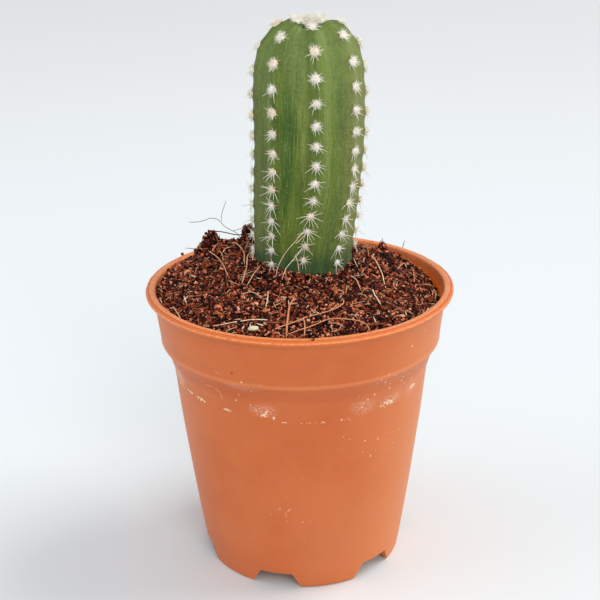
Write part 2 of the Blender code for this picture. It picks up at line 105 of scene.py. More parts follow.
scene = bpy.context.scene
scene.view_settings.view_transform = "Standard"
world = bpy.data.worlds.new("studio")
world.use_nodes = True
world.node_tree.nodes["Background"].inputs["Color"].default_value = (0.92, 0.95, 1.0, 1.0)
world.node_tree.nodes["Background"].inputs["Strength"].default_value = WORLD_STRENGTH
scene.world = world
for name, place, size, power, colour in LAMPS:
    lamp_data = bpy.data.lights.new(name, "AREA")
    lamp_data.shape = "DISK"
    lamp_data.size = size
    lamp_data.energy = power
    lamp_data.color = colour
    lamp = bpy.data.objects.new(name, lamp_data)
    lamp.location = place
    lamp.rotation_euler = (LAMP_TARGET - Vector(place)).to_track_quat("-Z", "Y").to_euler()
    scene.collection.objects.link(lamp)

bpy.ops.mesh.primitive_plane_add(size=FLOOR_SIZE)
floor = bpy.context.object
floor.name = "floor"
print("lamps", len(LAMPS))

# %% [markdown]
# Small tools for node trees
# Shader and geometry trees are both lists of nodes joined by sockets. Writing each link by
# hand hides the sums, so we wrap a socket in a small class that can be added and multiplied,
# and let it add the math nodes for us.

# %% Node helpers
def add_node(tree, kind, inputs=None, **settings):
    """Adds a node, sets its settings, and fills or links the named or numbered inputs."""
    made = tree.nodes.new(kind)
    for key, value in settings.items():
        setattr(made, key, value)
    for key, value in (inputs or {}).items():
        value = getattr(value, "socket", value)
        if isinstance(value, bpy.types.NodeSocket):
            tree.links.new(value, made.inputs[key])
        else:
            made.inputs[key].default_value = value
    return made


class Value:
    """A number that changes over a surface, as a socket that sums can be written with."""

    def __init__(self, tree, socket):
        self.tree = tree
        self.socket = socket

    def math(self, operation, *others):
        inputs = dict(enumerate((self, *others)))
        made = add_node(self.tree, "ShaderNodeMath", inputs, operation=operation)
        return Value(self.tree, made.outputs[0])

    def __add__(self, other):
        return self.math("ADD", other)

    def __sub__(self, other):
        return self.math("SUBTRACT", other)

    def __mul__(self, other):
        return self.math("MULTIPLY", other)

    def __truediv__(self, other):
        return self.math("DIVIDE", other)

    def ramp(self, low, high, start=0.0, end=1.0):
        """Smooth step from start to end while this goes from low to high."""
        made = add_node(self.tree, "ShaderNodeMapRange",
                        {0: self, 1: low, 2: high, 3: start, 4: end},
                        interpolation_type="SMOOTHSTEP")
        return Value(self.tree, made.outputs[0])


class Arrow:
    """A vector that changes over a surface, as a socket that sums can be written with."""

    def __init__(self, tree, socket):
        self.tree = tree
        self.socket = socket

    def math(self, operation, other=None, scale=None):
        inputs = {0: self}
        if other is not None:
            inputs[1] = other
        if scale is not None:
            inputs[3] = scale
        made = add_node(self.tree, "ShaderNodeVectorMath", inputs, operation=operation)
        return Arrow(self.tree, made.outputs[0])

    def __add__(self, other):
        return self.math("ADD", other)

    def __sub__(self, other):
        return self.math("SUBTRACT", other)

    def __mul__(self, scale):
        return self.math("SCALE", scale=scale)

    def cross(self, other):
        return self.math("CROSS_PRODUCT", other)


def vector_of(tree, *values):
    """Joins up to three numbers into a vector socket."""
    return add_node(tree, "ShaderNodeCombineXYZ", dict(enumerate(values))).outputs[0]


def noise_value(tree, vector, scale, detail=3.0, roughness=0.55, distortion=0.0):
    made = add_node(tree, "ShaderNodeTexNoise",
                    {"Vector": vector, "Scale": scale, "Detail": detail,
                     "Roughness": roughness, "Distortion": distortion})
    return Value(tree, made.outputs[0])


def mix_colour(tree, share, first, second):
    """Mixes two colours, each a socket or three numbers."""
    first, second = [(*colour, 1.0) if isinstance(colour, tuple) else colour
                     for colour in (first, second)]
    return add_node(tree, "ShaderNodeMix", {0: share, 6: first, 7: second},
                    data_type="RGBA").outputs[2]


def bump(tree, height, distance):
    return add_node(tree, "ShaderNodeBump",
                    {"Height": height, "Distance": distance, "Strength": 1.0}).outputs[0]


def new_finish(name, **constants):
    """A material with its Principled shader's own sockets set to the given numbers."""
    finish = bpy.data.materials.new(name)
    finish.use_nodes = True
    shader = finish.node_tree.nodes["Principled BSDF"]
    for key, value in constants.items():
        shader.inputs[key.replace("_", " ")].default_value = value
    return finish, finish.node_tree, shader


def link_up(tree, node, values):
    """Links values to the named inputs of a node that is there already."""
    for title, value in values.items():
        tree.links.new(getattr(value, "socket", value), node.inputs[title])


def kept_value(tree, name):
    """A number that each point of the mesh carries, read in a shader."""
    return Value(tree, add_node(tree, "ShaderNodeAttribute", attribute_name=name).outputs["Fac"])


def object_place(tree):
    return add_node(tree, "ShaderNodeTexCoord").outputs["Object"]


def new_group(kind, name, inputs, outputs):
    """A node group, its inputs as values by name, and the node that its outputs go to."""
    group = bpy.data.node_groups.new(name, kind)
    for title, socket_kind, value in inputs:
        socket = group.interface.new_socket(title, in_out="INPUT", socket_type=socket_kind)
        if value is not None:
            socket.default_value = value
    for title, socket_kind in outputs:
        group.interface.new_socket(title, in_out="OUTPUT", socket_type=socket_kind)
    start = group.nodes.new("NodeGroupInput")
    given = {title: Value(group, start.outputs[title]) for title, socket_kind, value in inputs}
    return group, given, group.nodes.new("NodeGroupOutput")


FLOAT, VECTOR, WHOLE = "NodeSocketFloat", "NodeSocketVector", "NodeSocketInt"
GEOMETRY, OBJECT = "NodeSocketGeometry", "NodeSocketObject"
MATERIAL, TRUTH = "NodeSocketMaterial", "NodeSocketBool"
print("node helpers ready")

# %% [markdown]
# Floor finish
# The table top is nearly white with a dull sheen. A faint wide mottling keeps it from looking
# like an empty backdrop. The slow change to a duller white further out is painted light
# falloff, and the cooler white near the pot offsets the pot's reddish bounce light.

# %% Floor finish
floor_finish, tree, shader = new_finish("pale_table", Roughness=0.65)
coordinates = object_place(tree)
mottle = noise_value(tree, coordinates, 3.0)
painted_falloff = add_node(tree, "ShaderNodeVectorMath", {0: coordinates}, operation="LENGTH")
painted_falloff = Value(tree, painted_falloff.outputs["Value"]).ramp(0.05, 1.1)
# Painted light falloff: brighter, cooler white near the pot, duller white far out
colour = mix_colour(tree, painted_falloff, (0.735, 0.782, 0.794), (0.675, 0.676, 0.684))
colour = mix_colour(tree, mottle * 0.2, colour, (0.80, 0.81, 0.83))
link_up(tree, shader, {"Base Color": colour})
floor.data.materials.append(floor_finish)
print("floor finish", floor_finish.name)

# %% [markdown]
# Placing and finishing a piece
# Every piece ends the same way: a plain mesh at the origin, riding on the part's one body.

# %% Piece helpers
def new_piece(name, bm, finish=None):
    mesh = bpy.data.meshes.new(name)
    bm.to_mesh(mesh)
    bm.free()
    piece = bpy.data.objects.new(name, mesh)
    bpy.context.scene.collection.objects.link(piece)
    if finish:
        mesh.materials.append(finish)
    return piece


def keep_result(piece):
    """Replaces a piece's mesh by what its modifiers make, and drops the modifiers."""
    depsgraph = bpy.context.evaluated_depsgraph_get()
    made = bpy.data.meshes.new_from_object(piece.evaluated_get(depsgraph))
    piece.modifiers.clear()
    piece.data = made
    made.name = piece.name
    return piece


def put_in_place(piece, slot, *nodes):
    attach(piece, "root")
    if nodes:
        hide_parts(*nodes)
    piece.data.calc_loop_triangles()
    print(piece.name, "has", len(piece.data.loop_triangles), "triangles")


def drop(*helpers):
    for helper in helpers:
        bpy.data.objects.remove(helper)


# %% [markdown]
# The pot's form
# A nursery pot is moulded in one shot from thin plastic: a rolled lip, a deep collar, a soft
# step that lets pots stack, a tapering body and a foot with notches. Spinning half a section
# round the axis gives all of it. The wall is one millimetre thick, so the section goes down
# the outside and comes back up the inside.

# %% Pot section
LIP_RADIUS = 40.0 * MM
POT_HEIGHT = 76.2 * MM
LIP_WIDTH = 2.5 * MM
LIP_THICKNESS = 1.8 * MM
WALL = 1.0 * MM
LIP_STEPS = 44
LIP_FIRST_TURN = 180.0
LIP_SWEEP = 260.0
LIP_SQUARENESS = 0.6
# Where the groove is as a turn round the lip, its half width in degrees, its depth as a share
LIP_GROOVE = (62.0, 7.0, 0.16)
# Radius and height in mm
UNDER_LIP = (38.4, 74.15)
COLLAR_AND_STEP = [(37.9, 73.4), (37.3, 68.4), (36.75, 63.6), (36.75, 62.7), (36.5, 62.0),
                   (35.9, 61.2), (34.9, 59.2), (34.1, 56.6)]
BODY_TOP = (33.5 * MM, 53.8 * MM)
BODY_FOOT = (27.0 * MM, 2.6 * MM)
BODY_BULGE = 0.35 * MM
FOOT_RADIUS = 26.1 * MM
FOOT_RING_WIDTH = 1.3 * MM
FOOT_EDGE_ACROSS = 0.7 * MM
FOOT_EDGE_UP = 0.9 * MM
FLOOR_UNDERSIDE = 5.0 * MM
FLOOR_TOP = 6.0 * MM
BODY_STEPS = 4


def curve_through(points, steps):
    """Points on a smooth curve through the given ones."""
    last = len(points) - 1
    curve = []
    for index in range(last):
        four = [Vector(points[min(last, max(0, index + shift))]) for shift in (-1, 0, 1, 2)]
        for step in range(steps):
            t = step / steps
            curve.append(0.5 * (2 * four[1] + (four[2] - four[0]) * t
                                + (2 * four[0] - 5 * four[1] + 4 * four[2] - four[3]) * t * t
                                + (3 * four[1] - four[0] - 3 * four[2] + four[3]) * t ** 3))
    curve.append(Vector(points[last]))
    return curve


def pot_side():
    """Outer side from the collar's top down to the foot, as (radius, height)."""
    side = [Vector(point) * MM for point in COLLAR_AND_STEP]
    for step in range(BODY_STEPS + 1):
        share = step / BODY_STEPS
        radius = BODY_TOP[0] + (BODY_FOOT[0] - BODY_TOP[0]) * share
        radius += BODY_BULGE * 4.0 * share * (1.0 - share)
        side.append(Vector((radius, BODY_TOP[1] + (BODY_FOOT[1] - BODY_TOP[1]) * share)))
    return curve_through(side, 5)


def between(table, value):
    """Straight-line reading of a table of (place, amount) pairs."""
    if value <= table[0][0]:
        return table[0][1]
    for (low, first), (high, second) in zip(table, table[1:]):
        if value <= high:
            return first + (second - first) * (value - low) / (high - low)
    return table[-1][1]


def pot_inner_radius(height):
    return between([(point.y, point.x) for point in reversed(pot_side())], height) - WALL


def arc(centre, across, up, start, end, steps):
    turns = [math.radians(start + (end - start) * step / steps) for step in range(steps + 1)]
    return [Vector((centre[0] + across * math.cos(turn), centre[1] + up * math.sin(turn)))
            for turn in turns]


def lip_outline():
    """The lip from its squared inner edge over a shallow groove to the round outer bead."""
    outline = []
    at_turn, half_width, depth = LIP_GROOVE
    for step in range(LIP_STEPS + 1):
        turn = LIP_FIRST_TURN - LIP_SWEEP * step / LIP_STEPS
        across, up = math.cos(math.radians(turn)), math.sin(math.radians(turn))
        if across < 0.0:
            across, up = -abs(across) ** LIP_SQUARENESS, abs(up) ** LIP_SQUARENESS
        sunk = 1.0 - depth * math.exp(-((turn - at_turn) / half_width) ** 2)
        outline.append(Vector((lip_middle[0] + across * sunk * LIP_WIDTH / 2,
                               lip_middle[1] + up * sunk * LIP_THICKNESS / 2)))
    return outline


lip_middle = (LIP_RADIUS - LIP_WIDTH / 2, POT_HEIGHT - LIP_THICKNESS / 2)
section = lip_outline()
section.append(Vector(UNDER_LIP) * MM)
section += pot_side()
section += arc((FOOT_RADIUS - 0.1 * MM, FOOT_EDGE_UP), FOOT_EDGE_ACROSS, FOOT_EDGE_UP, 0, -90, 4)
section += [Vector((FOOT_RADIUS - FOOT_RING_WIDTH, 0.0)),
            Vector((BODY_FOOT[0] - FOOT_RING_WIDTH + 0.3 * MM, FLOOR_UNDERSIDE)),
            Vector((0.0, FLOOR_UNDERSIDE)), Vector((0.0, FLOOR_TOP))]
section += [Vector((pot_inner_radius(FLOOR_TOP) * share, FLOOR_TOP)) for share in (0.5, 0.96)]
section += [Vector((point.x - WALL, point.y)) for point in reversed(pot_side())
            if point.y > FLOOR_TOP + WALL]
print("section points", len(section))

# %% [markdown]
# Spin, notch and drill
# The section is spun with many steps so that the lip's outline stays round. Wedge-shaped
# cutters then take the drainage notches out of the foot, and round ones drill the floor.

# %% Pot shell
POT_STEPS = 180
NOTCH_COUNT = 6
NOTCH_FIRST_ANGLE = -15.5
NOTCH_WIDTH_BELOW = 13.4 * MM
NOTCH_WIDTH_ABOVE = 8.6 * MM
NOTCH_HEIGHT = 4.5 * MM
DRAIN_HOLE_RADIUS = 2.2 * MM
DRAIN_HOLE_CIRCLE = 18.0 * MM


def facing(angle):
    """Horizontal direction at an angle in degrees from the front towards +X."""
    turn = math.radians(angle)
    return Vector((math.sin(turn), -math.cos(turn), 0.0))


def notch_cutter(angle):
    bm = bmesh.new()
    outwards = facing(angle)
    along = Vector((-outwards.y, outwards.x, 0.0))
    flare = (NOTCH_WIDTH_BELOW - NOTCH_WIDTH_ABOVE) / NOTCH_HEIGHT
    corners = []
    for height in (-MM, NOTCH_HEIGHT):
        half = (NOTCH_WIDTH_BELOW - flare * height) / 2
        for reach in (FOOT_RADIUS * 0.75, FOOT_RADIUS * 1.25):
            for side in (-1, 1):
                place = outwards * reach + along * side * half
                corners.append(bm.verts.new((place.x, place.y, height)))
    bmesh.ops.convex_hull(bm, input=corners)
    return bm


def drain_cutter(angle):
    bm = bmesh.new()
    place = Matrix.Translation(facing(angle) * DRAIN_HOLE_CIRCLE + Vector((0, 0, FLOOR_TOP)))
    bmesh.ops.create_cone(bm, cap_ends=True, segments=32, radius1=DRAIN_HOLE_RADIUS,
                          radius2=DRAIN_HOLE_RADIUS, depth=6 * WALL, matrix=place)
    return bm


bm = bmesh.new()
points = [bm.verts.new((point.x, 0.0, point.y)) for point in section]
edges = [bm.edges.new(pair) for pair in zip(points, points[1:] + points[:1])
         if max(pair[0].co.x, pair[1].co.x) > 0.0]
bmesh.ops.spin(bm, geom=edges, cent=(0, 0, 0), axis=(0, 0, 1), angle=math.tau,
               steps=POT_STEPS, use_merge=True)
bmesh.ops.remove_doubles(bm, verts=bm.verts, dist=0.005 * MM)
bmesh.ops.recalc_face_normals(bm, faces=bm.faces)
pot_shell = new_piece("pot_shell", bm)
cutters = bpy.data.collections.new("pot_cutters")
scene.collection.children.link(cutters)
for index in range(NOTCH_COUNT):
    angle = NOTCH_FIRST_ANGLE + index * 360.0 / NOTCH_COUNT
    for shape in (notch_cutter(angle), drain_cutter(angle)):
        cutter = new_piece("cutter", shape)
        scene.collection.objects.unlink(cutter)
        cutters.objects.link(cutter)
cut = pot_shell.modifiers.new("cut", "BOOLEAN")
cut.operation = "DIFFERENCE"
cut.operand_type = "COLLECTION"
cut.collection = cutters
keep_result(pot_shell)
drop(*cutters.objects)
bpy.data.collections.remove(cutters)

# %% [markdown]
# Softening the moulding
# Thin plastic is never perfectly round. A slow wave of a tenth of a millimetre over the wall
# and lip is enough to break up the machine-made look in the highlights. In the same pass each
# point keeps two numbers for the finish: whether it is inside, and its turn round the lip.

# %% Pot waves
WAVE_SIZE = 17.0 * MM
WAVE_DEPTH = 0.16 * MM
LIP_RIPPLE_SIZE = 3.2 * MM
LIP_RIPPLE_DEPTH = 0.07 * MM
RIPPLE_FROM = 74.0 * MM
LIP_FROM = 74.2 * MM
# The wall waves above the first height, and fully once it is higher by the second number
STEADY_BELOW = 8.0 * MM
STEADY_FADE = 50.0 * MM
# Added to a turn round the lip, so that the numbers run on without a jump
LIP_TURN_SHIFT = 100.0

inside_wall, round_lip = [], []
for vert in pot_shell.data.vertices:
    place = vert.co.copy()
    flat = Vector((place.x, place.y, 0.0))
    inside_wall.append(float(flat.length < pot_inner_radius(place.z) + WALL / 2))
    lip_turn = math.degrees(math.atan2((place.z - lip_middle[1]) / LIP_THICKNESS,
                                       (flat.length - lip_middle[0]) / LIP_WIDTH))
    on_lip = place.z > LIP_FROM and not inside_wall[-1]
    round_lip.append((lip_turn + LIP_TURN_SHIFT) % 360.0 if on_lip else 360.0 * inside_wall[-1])
    share = min(1.0, max(0.0, (place.z - STEADY_BELOW) / STEADY_FADE))
    push = WAVE_DEPTH * share * noise.noise(place / WAVE_SIZE)
    if place.z > RIPPLE_FROM:
        ripple = noise.noise(flat / LIP_RIPPLE_SIZE)
        push += LIP_RIPPLE_DEPTH * ripple
        vert.co.z += LIP_RIPPLE_DEPTH * ripple
    if flat.length > MM:
        vert.co += flat.normalized() * push
for title, values in (("inside", inside_wall), ("round_lip", round_lip)):
    data = pot_shell.data.attributes.new(title, "FLOAT", "POINT").data
    data.foreach_set("value", values)
pot_shell.data.shade_smooth()
pot_shell.data.set_sharp_from_angle(angle=math.radians(38))
print("points on the lip", sum(0.0 < turn < 360.0 for turn in round_lip))

# %% [markdown]
# Terracotta-coloured plastic
# The colour runs right through the moulding and light glows a little in the thin wall, so the
# shader has some subsurface. Hard water leaves a broken white line where pots were stacked,
# with specks and faint scratches. One group makes specks from a cell pattern and scratches
# from noise. A second one makes a single blotch at a given angle and height, and is used once
# for each mark.

# %% Marks groups
grime, given, end = new_group(
    "ShaderNodeTree", "dust_and_scratches",
    [("Vector", VECTOR, None), ("Unrolled", VECTOR, None), ("Dots Per Metre", FLOAT, 460.0),
     ("Dot Size", FLOAT, 0.00027), ("Amount", FLOAT, 0.5), ("Scratch Scale", FLOAT, 60.0)],
    [("Dots", FLOAT), ("Scratches", FLOAT), ("Mottle", FLOAT)])
cells = add_node(grime, "ShaderNodeTexVoronoi",
                 {"Vector": given["Unrolled"], "Scale": given["Dots Per Metre"]},
                 voronoi_dimensions="2D")
reach = Value(grime, cells.outputs["Distance"]) / given["Dots Per Metre"]
kept = Value(grime, add_node(grime, "ShaderNodeSeparateColor",
                             {0: cells.outputs["Color"]}).outputs[0])
dot_size = given["Dot Size"] * (kept + given["Amount"] - 1.0).ramp(0.0, 0.35)
dots = (reach / dot_size.math("MAXIMUM", 1e-7)).ramp(0.6, 1.2, 1.0, 0.0)
stretch = Arrow(grime, given["Vector"].socket).math("MULTIPLY", (1.0, 1.0, 9.0))
scratches = noise_value(grime, stretch, given["Scratch Scale"], 4.0, 0.7, 1.5)
scratches = (scratches - 0.5).math("ABSOLUTE").ramp(0.0, 0.012, 1.0, 0.0)
mottle = noise_value(grime, given["Vector"], 55.0, 4.0)
link_up(grime, end, {"Dots": dots, "Scratches": scratches, "Mottle": mottle})

blotch, given, end = new_group(
    "ShaderNodeTree", "placed_blotch",
    [("Angle", FLOAT, 0.0), ("Height", FLOAT, 0.0), ("At Angle", FLOAT, 0.0),
     ("At Height", FLOAT, 0.05), ("Half Angle", FLOAT, 5.0), ("Half Height", FLOAT, 0.001),
     ("Slope", FLOAT, 0.0), ("Strength", FLOAT, 1.0)],
    [("Mask", FLOAT)])
turned = (given["Angle"] - given["At Angle"]).math("WRAP", 180.0, -180.0)
risen = given["Height"] - given["At Height"] - turned * given["Slope"]
turned = turned / given["Half Angle"]
risen = risen / given["Half Height"]
away = (turned * turned + risen * risen).math("SQRT")
mask = away.ramp(0.35, 1.0, 1.0, 0.0) * given["Strength"]
link_up(blotch, end, {"Mask": mask})


def placed_blotches(tree, angle, height, table):
    """Largest mask of a table of blotches. A row is angle, height in mm, half angle, half
    height in mm, slope in mm a degree, and strength."""
    total = None
    for at_angle, at_height, half_angle, half_height, slope, strength in table:
        made = add_node(tree, "ShaderNodeGroup",
                        {"Angle": angle, "Height": height, "At Angle": at_angle,
                         "At Height": at_height * MM, "Half Angle": half_angle,
                         "Half Height": half_height * MM, "Slope": slope * MM,
                         "Strength": strength}, node_tree=blotch)
        mask = Value(tree, made.outputs[0])
        total = mask if total is None else total.math("MAXIMUM", mask)
    return total


print("groups", grime.name, blotch.name)

# %% [markdown]
# The marks and the plastic
# Each table has one row a mark, in the order that the function above reads. The base colour
# is built up like paint: the plastic first, then painted light on the right side, a painted
# highlight and painted shade at the step, a painted glow on the upper inner wall, the lip with
# a painted highlight on its bead, painted shade in its groove and a worn flange painted lighter
# where light falls on it, then the dust, the lime and the scuffs, each laid over what is there.

# %% Terracotta plastic
LIME_MARKS = [
    (-67.0, 55.0, 7.0, 3.2, 0.0, 0.70), (-57.5, 53.5, 6.0, 0.60, -0.03, 1.05),
    (-49.0, 53.1, 6.0, 0.95, -0.03, 1.1), (-32.6, 53.0, 4.2, 0.65, -0.05, 1.05),
    (-27.4, 56.8, 1.8, 0.45, 0.0, 0.9), (-21.3, 56.1, 0.8, 0.8, 0.0, 0.95),
    (-15.8, 54.4, 6.8, 1.6, 0.0, 0.80), (-16.5, 53.4, 4.2, 0.8, 0.0, 0.95),
    (-11.8, 52.9, 1.3, 1.1, 0.0, 1.0), (-6.8, 51.9, 2.9, 0.40, 0.0, 1.0),
    (0.5, 51.8, 15.0, 0.20, 0.0, 0.85), (8.6, 51.8, 3.2, 0.45, 0.0, 1.0),
    (19.0, 51.8, 5.0, 0.75, 0.0, 0.85), (27.0, 54.4, 6.5, 2.4, 0.0, 0.55),
    (40.0, 53.4, 8.5, 1.7, 0.0, 0.95), (47.0, 57.0, 3.2, 0.7, 0.05, 0.85),
    (57.5, 54.4, 5.5, 1.2, 0.06, 1.05), (35.0, 61.5, 14.0, 1.2, 0.0, 0.50),
    (101.0, 52.2, 9.0, 0.6, 0.0, 0.90), (131.0, 53.4, 7.0, 2.2, 0.0, 0.70),
    (170.0, 52.0, 12.0, 0.35, 0.0, 0.90), (-145.0, 52.5, 8.0, 0.8, 0.03, 0.95),
    (-112.0, 54.0, 7.0, 2.4, 0.0, 0.65), (-92.0, 52.2, 5.0, 0.45, 0.0, 1.0),
]
DUST_BANDS = [(-23.0, 61.6, 13.0, 4.0, 0.0, 1.0), (37.0, 59.0, 26.0, 6.0, 0.0, 1.0),
              (-68.0, 56.0, 10.0, 5.0, 0.0, 1.0), (35.0, 43.0, 28.0, 8.0, 0.0, 0.55),
              (-4.0, 27.0, 15.0, 9.0, 0.0, 0.35), (48.0, 68.0, 22.0, 4.0, 0.0, 0.6),
              (150.0, 58.0, 40.0, 6.0, 0.0, 1.0), (-140.0, 40.0, 30.0, 9.0, 0.0, 0.5)]
CHIPS = [(-26.6, 65.3, 0.62, 0.40, 0.0, 1.0), (-96.0, 40.0, 0.6, 0.4, 0.0, 1.0)]
SCUFFS = [(-6.6, 25.6, 1.3, 0.5, 0.5, 1.0), (-8.3, 24.2, 0.5, 0.9, 0.0, 0.9),
          (-7.9, 22.1, 0.5, 0.3, 0.0, 0.8), (0.4, 14.9, 0.5, 0.3, 0.0, 0.8),
          (-40.6, 58.9, 3.4, 0.30, 0.02, 0.6), (-36.3, 58.3, 1.8, 0.40, -0.3, 0.6),
          (-35.0, 56.6, 0.6, 1.6, 0.0, 0.6), (-33.0, 64.5, 2.0, 0.35, -0.2, 0.4),
          (-15.9, 23.7, 0.5, 0.3, 0.0, 0.8), (140.0, 31.0, 1.6, 0.4, 0.2, 0.9)]
HAZES = [(-68.0, 55.4, 9.0, 4.0, 0.0, 1.3), (-16.0, 54.8, 8.0, 2.4, 0.0, 0.9),
         (27.0, 54.4, 8.0, 2.8, 0.0, 0.8), (42.0, 54.0, 9.0, 2.2, 0.0, 0.8),
         (56.0, 54.0, 7.0, 3.0, 0.0, 0.6), (-24.0, 61.5, 9.0, 1.6, 0.0, 0.5),
         (138.0, 54.5, 14.0, 3.0, 0.0, 0.9), (-122.0, 55.0, 12.0, 2.6, 0.0, 0.8)]
# How far one degree goes round the wall, to lay the specks out flat
WALL_PER_DEGREE = 0.6 * MM

pot_finish, tree, shader = new_finish(
    "terracotta_plastic", Roughness=0.42, IOR=1.47, Specular_IOR_Level=0.22,
    Subsurface_Weight=0.55, Subsurface_Radius=(1.0, 0.30, 0.08), Subsurface_Scale=2.2 * MM)
coordinates = object_place(tree)
axes = add_node(tree, "ShaderNodeSeparateXYZ", {0: coordinates})
across, depth, height = [Value(tree, axes.outputs[name]) for name in "XYZ"]
angle = across.math("ARCTAN2", depth * -1.0) * (180.0 / math.pi)
inside = kept_value(tree, "inside")
outside = inside * -1.0 + 1.0
crust = noise_value(tree, coordinates, 1500.0, 3.0, 0.7)
patchy = noise_value(tree, coordinates, 20.0, 2.0)

bands = placed_blotches(tree, angle, height, DUST_BANDS)
wear = add_node(tree, "ShaderNodeGroup",
                {"Vector": coordinates, "Amount": bands * 0.5 + 0.14,
                 "Unrolled": vector_of(tree, angle * WALL_PER_DEGREE, height, 0.0)},
                node_tree=grime)
dots, scratches, mottle = [Value(tree, wear.outputs[title])
                           for title in ("Dots", "Scratches", "Mottle")]
base = mix_colour(tree, mottle.ramp(0.3, 0.7), (0.590, 0.142, 0.040), (0.640, 0.172, 0.054))
base = mix_colour(tree, patchy.ramp(0.45, 0.75) * 0.35, base, (0.64, 0.21, 0.085))
# Painted light: the right side of the pot, towards the key lamp, is painted lighter
painted_light_side = angle.ramp(10.0, 60.0) * angle.ramp(110.0, 150.0, 1.0, 0.0)
base = mix_colour(tree, painted_light_side * 0.45, base, (0.72, 0.250, 0.085))
# Painted highlight on the collar's rounded lower edge and painted shade on the step under it
step_painted_highlight = height.ramp(61.9 * MM, 62.4 * MM) * height.ramp(62.9 * MM, 63.5 * MM, 1.0, 0.0)
step_painted_shade = height.ramp(56.8 * MM, 58.6 * MM) * height.ramp(61.3 * MM, 62.1 * MM, 1.0, 0.0)
base = mix_colour(tree, step_painted_highlight * (patchy * 0.5 + 0.05) * outside, base, (0.86, 0.34, 0.15))
base = mix_colour(tree, step_painted_shade * (patchy * -0.3 + 0.42) * outside, base,
                  (0.47, 0.090, 0.024))
# Painted glow: the upper inner wall is painted bright orange, as light shining through the wall
base = mix_colour(tree, inside * height.ramp(64.0 * MM, 69.0 * MM), base, (0.92, 0.23, 0.032))

round_lip = kept_value(tree, "round_lip")
lip_share = round_lip.ramp(18.0, 40.0) * round_lip.ramp(285.0, 340.0, 1.0, 0.0)
rim_lines = noise_value(tree, vector_of(tree, angle * 0.5, round_lip * 0.09, 0.0), 1.0, 3.0, 0.7)
# Painted highlight along the outer bead of the lip
bead_painted_highlight = (round_lip - 112.0).math("ABSOLUTE").ramp(6.0, 20.0, 1.0, 0.0) * lip_share
# Painted shade: the groove in the lip is painted dark
groove = round_lip - (LIP_TURN_SHIFT + LIP_GROOVE[0])
groove = groove.math("ABSOLUTE").ramp(3.0, 9.0, 1.0, 0.0)
flange = round_lip.ramp(168.0, 180.0) * lip_share
base = mix_colour(tree, lip_share, base, (0.66, 0.165, 0.040))
# The flange is worn and also painted lighter where light falls on its top
worn_and_lit_flange = flange * (rim_lines.ramp(0.40, 0.60) * 0.6 + crust.ramp(0.45, 0.6) * 0.35)
base = mix_colour(tree, worn_and_lit_flange, base, (0.84, 0.38, 0.17))
base = mix_colour(tree, bead_painted_highlight * rim_lines.ramp(0.35, 0.62) * 0.7, base, (0.94, 0.52, 0.22))
base = mix_colour(tree, groove * rim_lines.ramp(0.62, 0.40) * 0.7, base,
                  (0.44, 0.085, 0.020))

marked = scratches * 0.04 + dots * outside * 0.9
base = mix_colour(tree, marked, base, (0.90, 0.58, 0.40))
veil = placed_blotches(tree, angle, height, HAZES) * crust.ramp(0.36, 0.62) * outside
base = mix_colour(tree, veil * 0.46, base, (0.82, 0.50, 0.38))
lime = placed_blotches(tree, angle, height, LIME_MARKS)
lime = (crust - (lime * -0.34 + 0.82)).ramp(-0.01, 0.05) * outside
base = mix_colour(tree, lime * 0.85, base, (0.92, 0.70, 0.50))
scuffs = placed_blotches(tree, angle, height, SCUFFS) * outside
base = mix_colour(tree, scuffs * 0.7, base, (0.80, 0.42, 0.22))
chips = placed_blotches(tree, angle, height, CHIPS) * outside
base = mix_colour(tree, chips * 0.85, base, (0.13, 0.03, 0.012))
roughness = mottle * 0.16 + 0.36 + lime * 0.4 - lip_share * 0.14
relief = lime * 0.5 - scratches * 0.08 + (rim_lines * 1.5 + crust * 0.8) * lip_share
relief = relief + noise_value(tree, coordinates, 1400.0, 2.0) * 0.08
link_up(tree, shader, {"Base Color": base, "Roughness": roughness,
                       "Normal": bump(tree, relief, 0.06 * MM)})
pot_shell.data.materials.clear()
pot_shell.data.materials.append(pot_finish)
put_in_place(pot_shell, "terracotta_plastic", "pot")

# %% [markdown]
# The crest line of the stem
# A column cactus is a turned form with ribs. We draw the outline of one rib's crest and let
# its points carry what changes with height: how deep the furrows are, how far the stem leans,
# and a count that reaches a whole number at each woolly cushion.

# %% Crest line
STEM_PLACE = Vector((0.8 * MM, 6.0 * MM, 0.0))
STEM_LEAN = 2.2 * MM
LEAN_HEIGHTS = (78.0 * MM, 116.0 * MM)
RIB_COUNT = 8
RIB_FIRST_ANGLE = 6.0
# Radius and height in mm, up the crest and into the notch at the top
CREST = [(0.0, 60.5), (4.5, 60.8), (8.4, 61.6), (11.2, 65.5), (12.5, 72.0), (12.8, 79.3),
         (13.1, 84.4), (13.5, 92.6), (13.85, 98.7), (14.05, 107.0), (14.25, 118.0),
         (14.2, 126.0), (13.7, 131.8), (12.9, 135.2), (11.5, 138.0), (9.6, 140.4),
         (7.4, 141.9), (5.2, 142.4), (3.0, 141.9), (1.3, 141.3), (0.0, 141.1)]
# Height and depth in mm
FURROWS = [(78.0, 0.0), (82.0, 0.7), (96.0, 1.2), (115.0, 1.8), (134.0, 2.3), (141.0, 2.0),
           (142.4, 1.4)]
AREOLE_START = 82.6 * MM
AREOLE_STEP = 1.897 * MM
AREOLE_STRETCH = 0.00087 * MM
AREOLE_LAST = 25
COUNTED_AREOLES = range(-12, 29)
# Low on the stem the ribs gather towards one side, by up to this many degrees
GATHER_TURN = 10.5
GATHER_ANGLE = -27.0
GATHER_HEIGHTS = (84.0 * MM, 104.0 * MM)


def ease(value, low, high):
    share = min(1.0, max(0.0, (value - low) / (high - low)))
    return share * share * (3.0 - 2.0 * share)


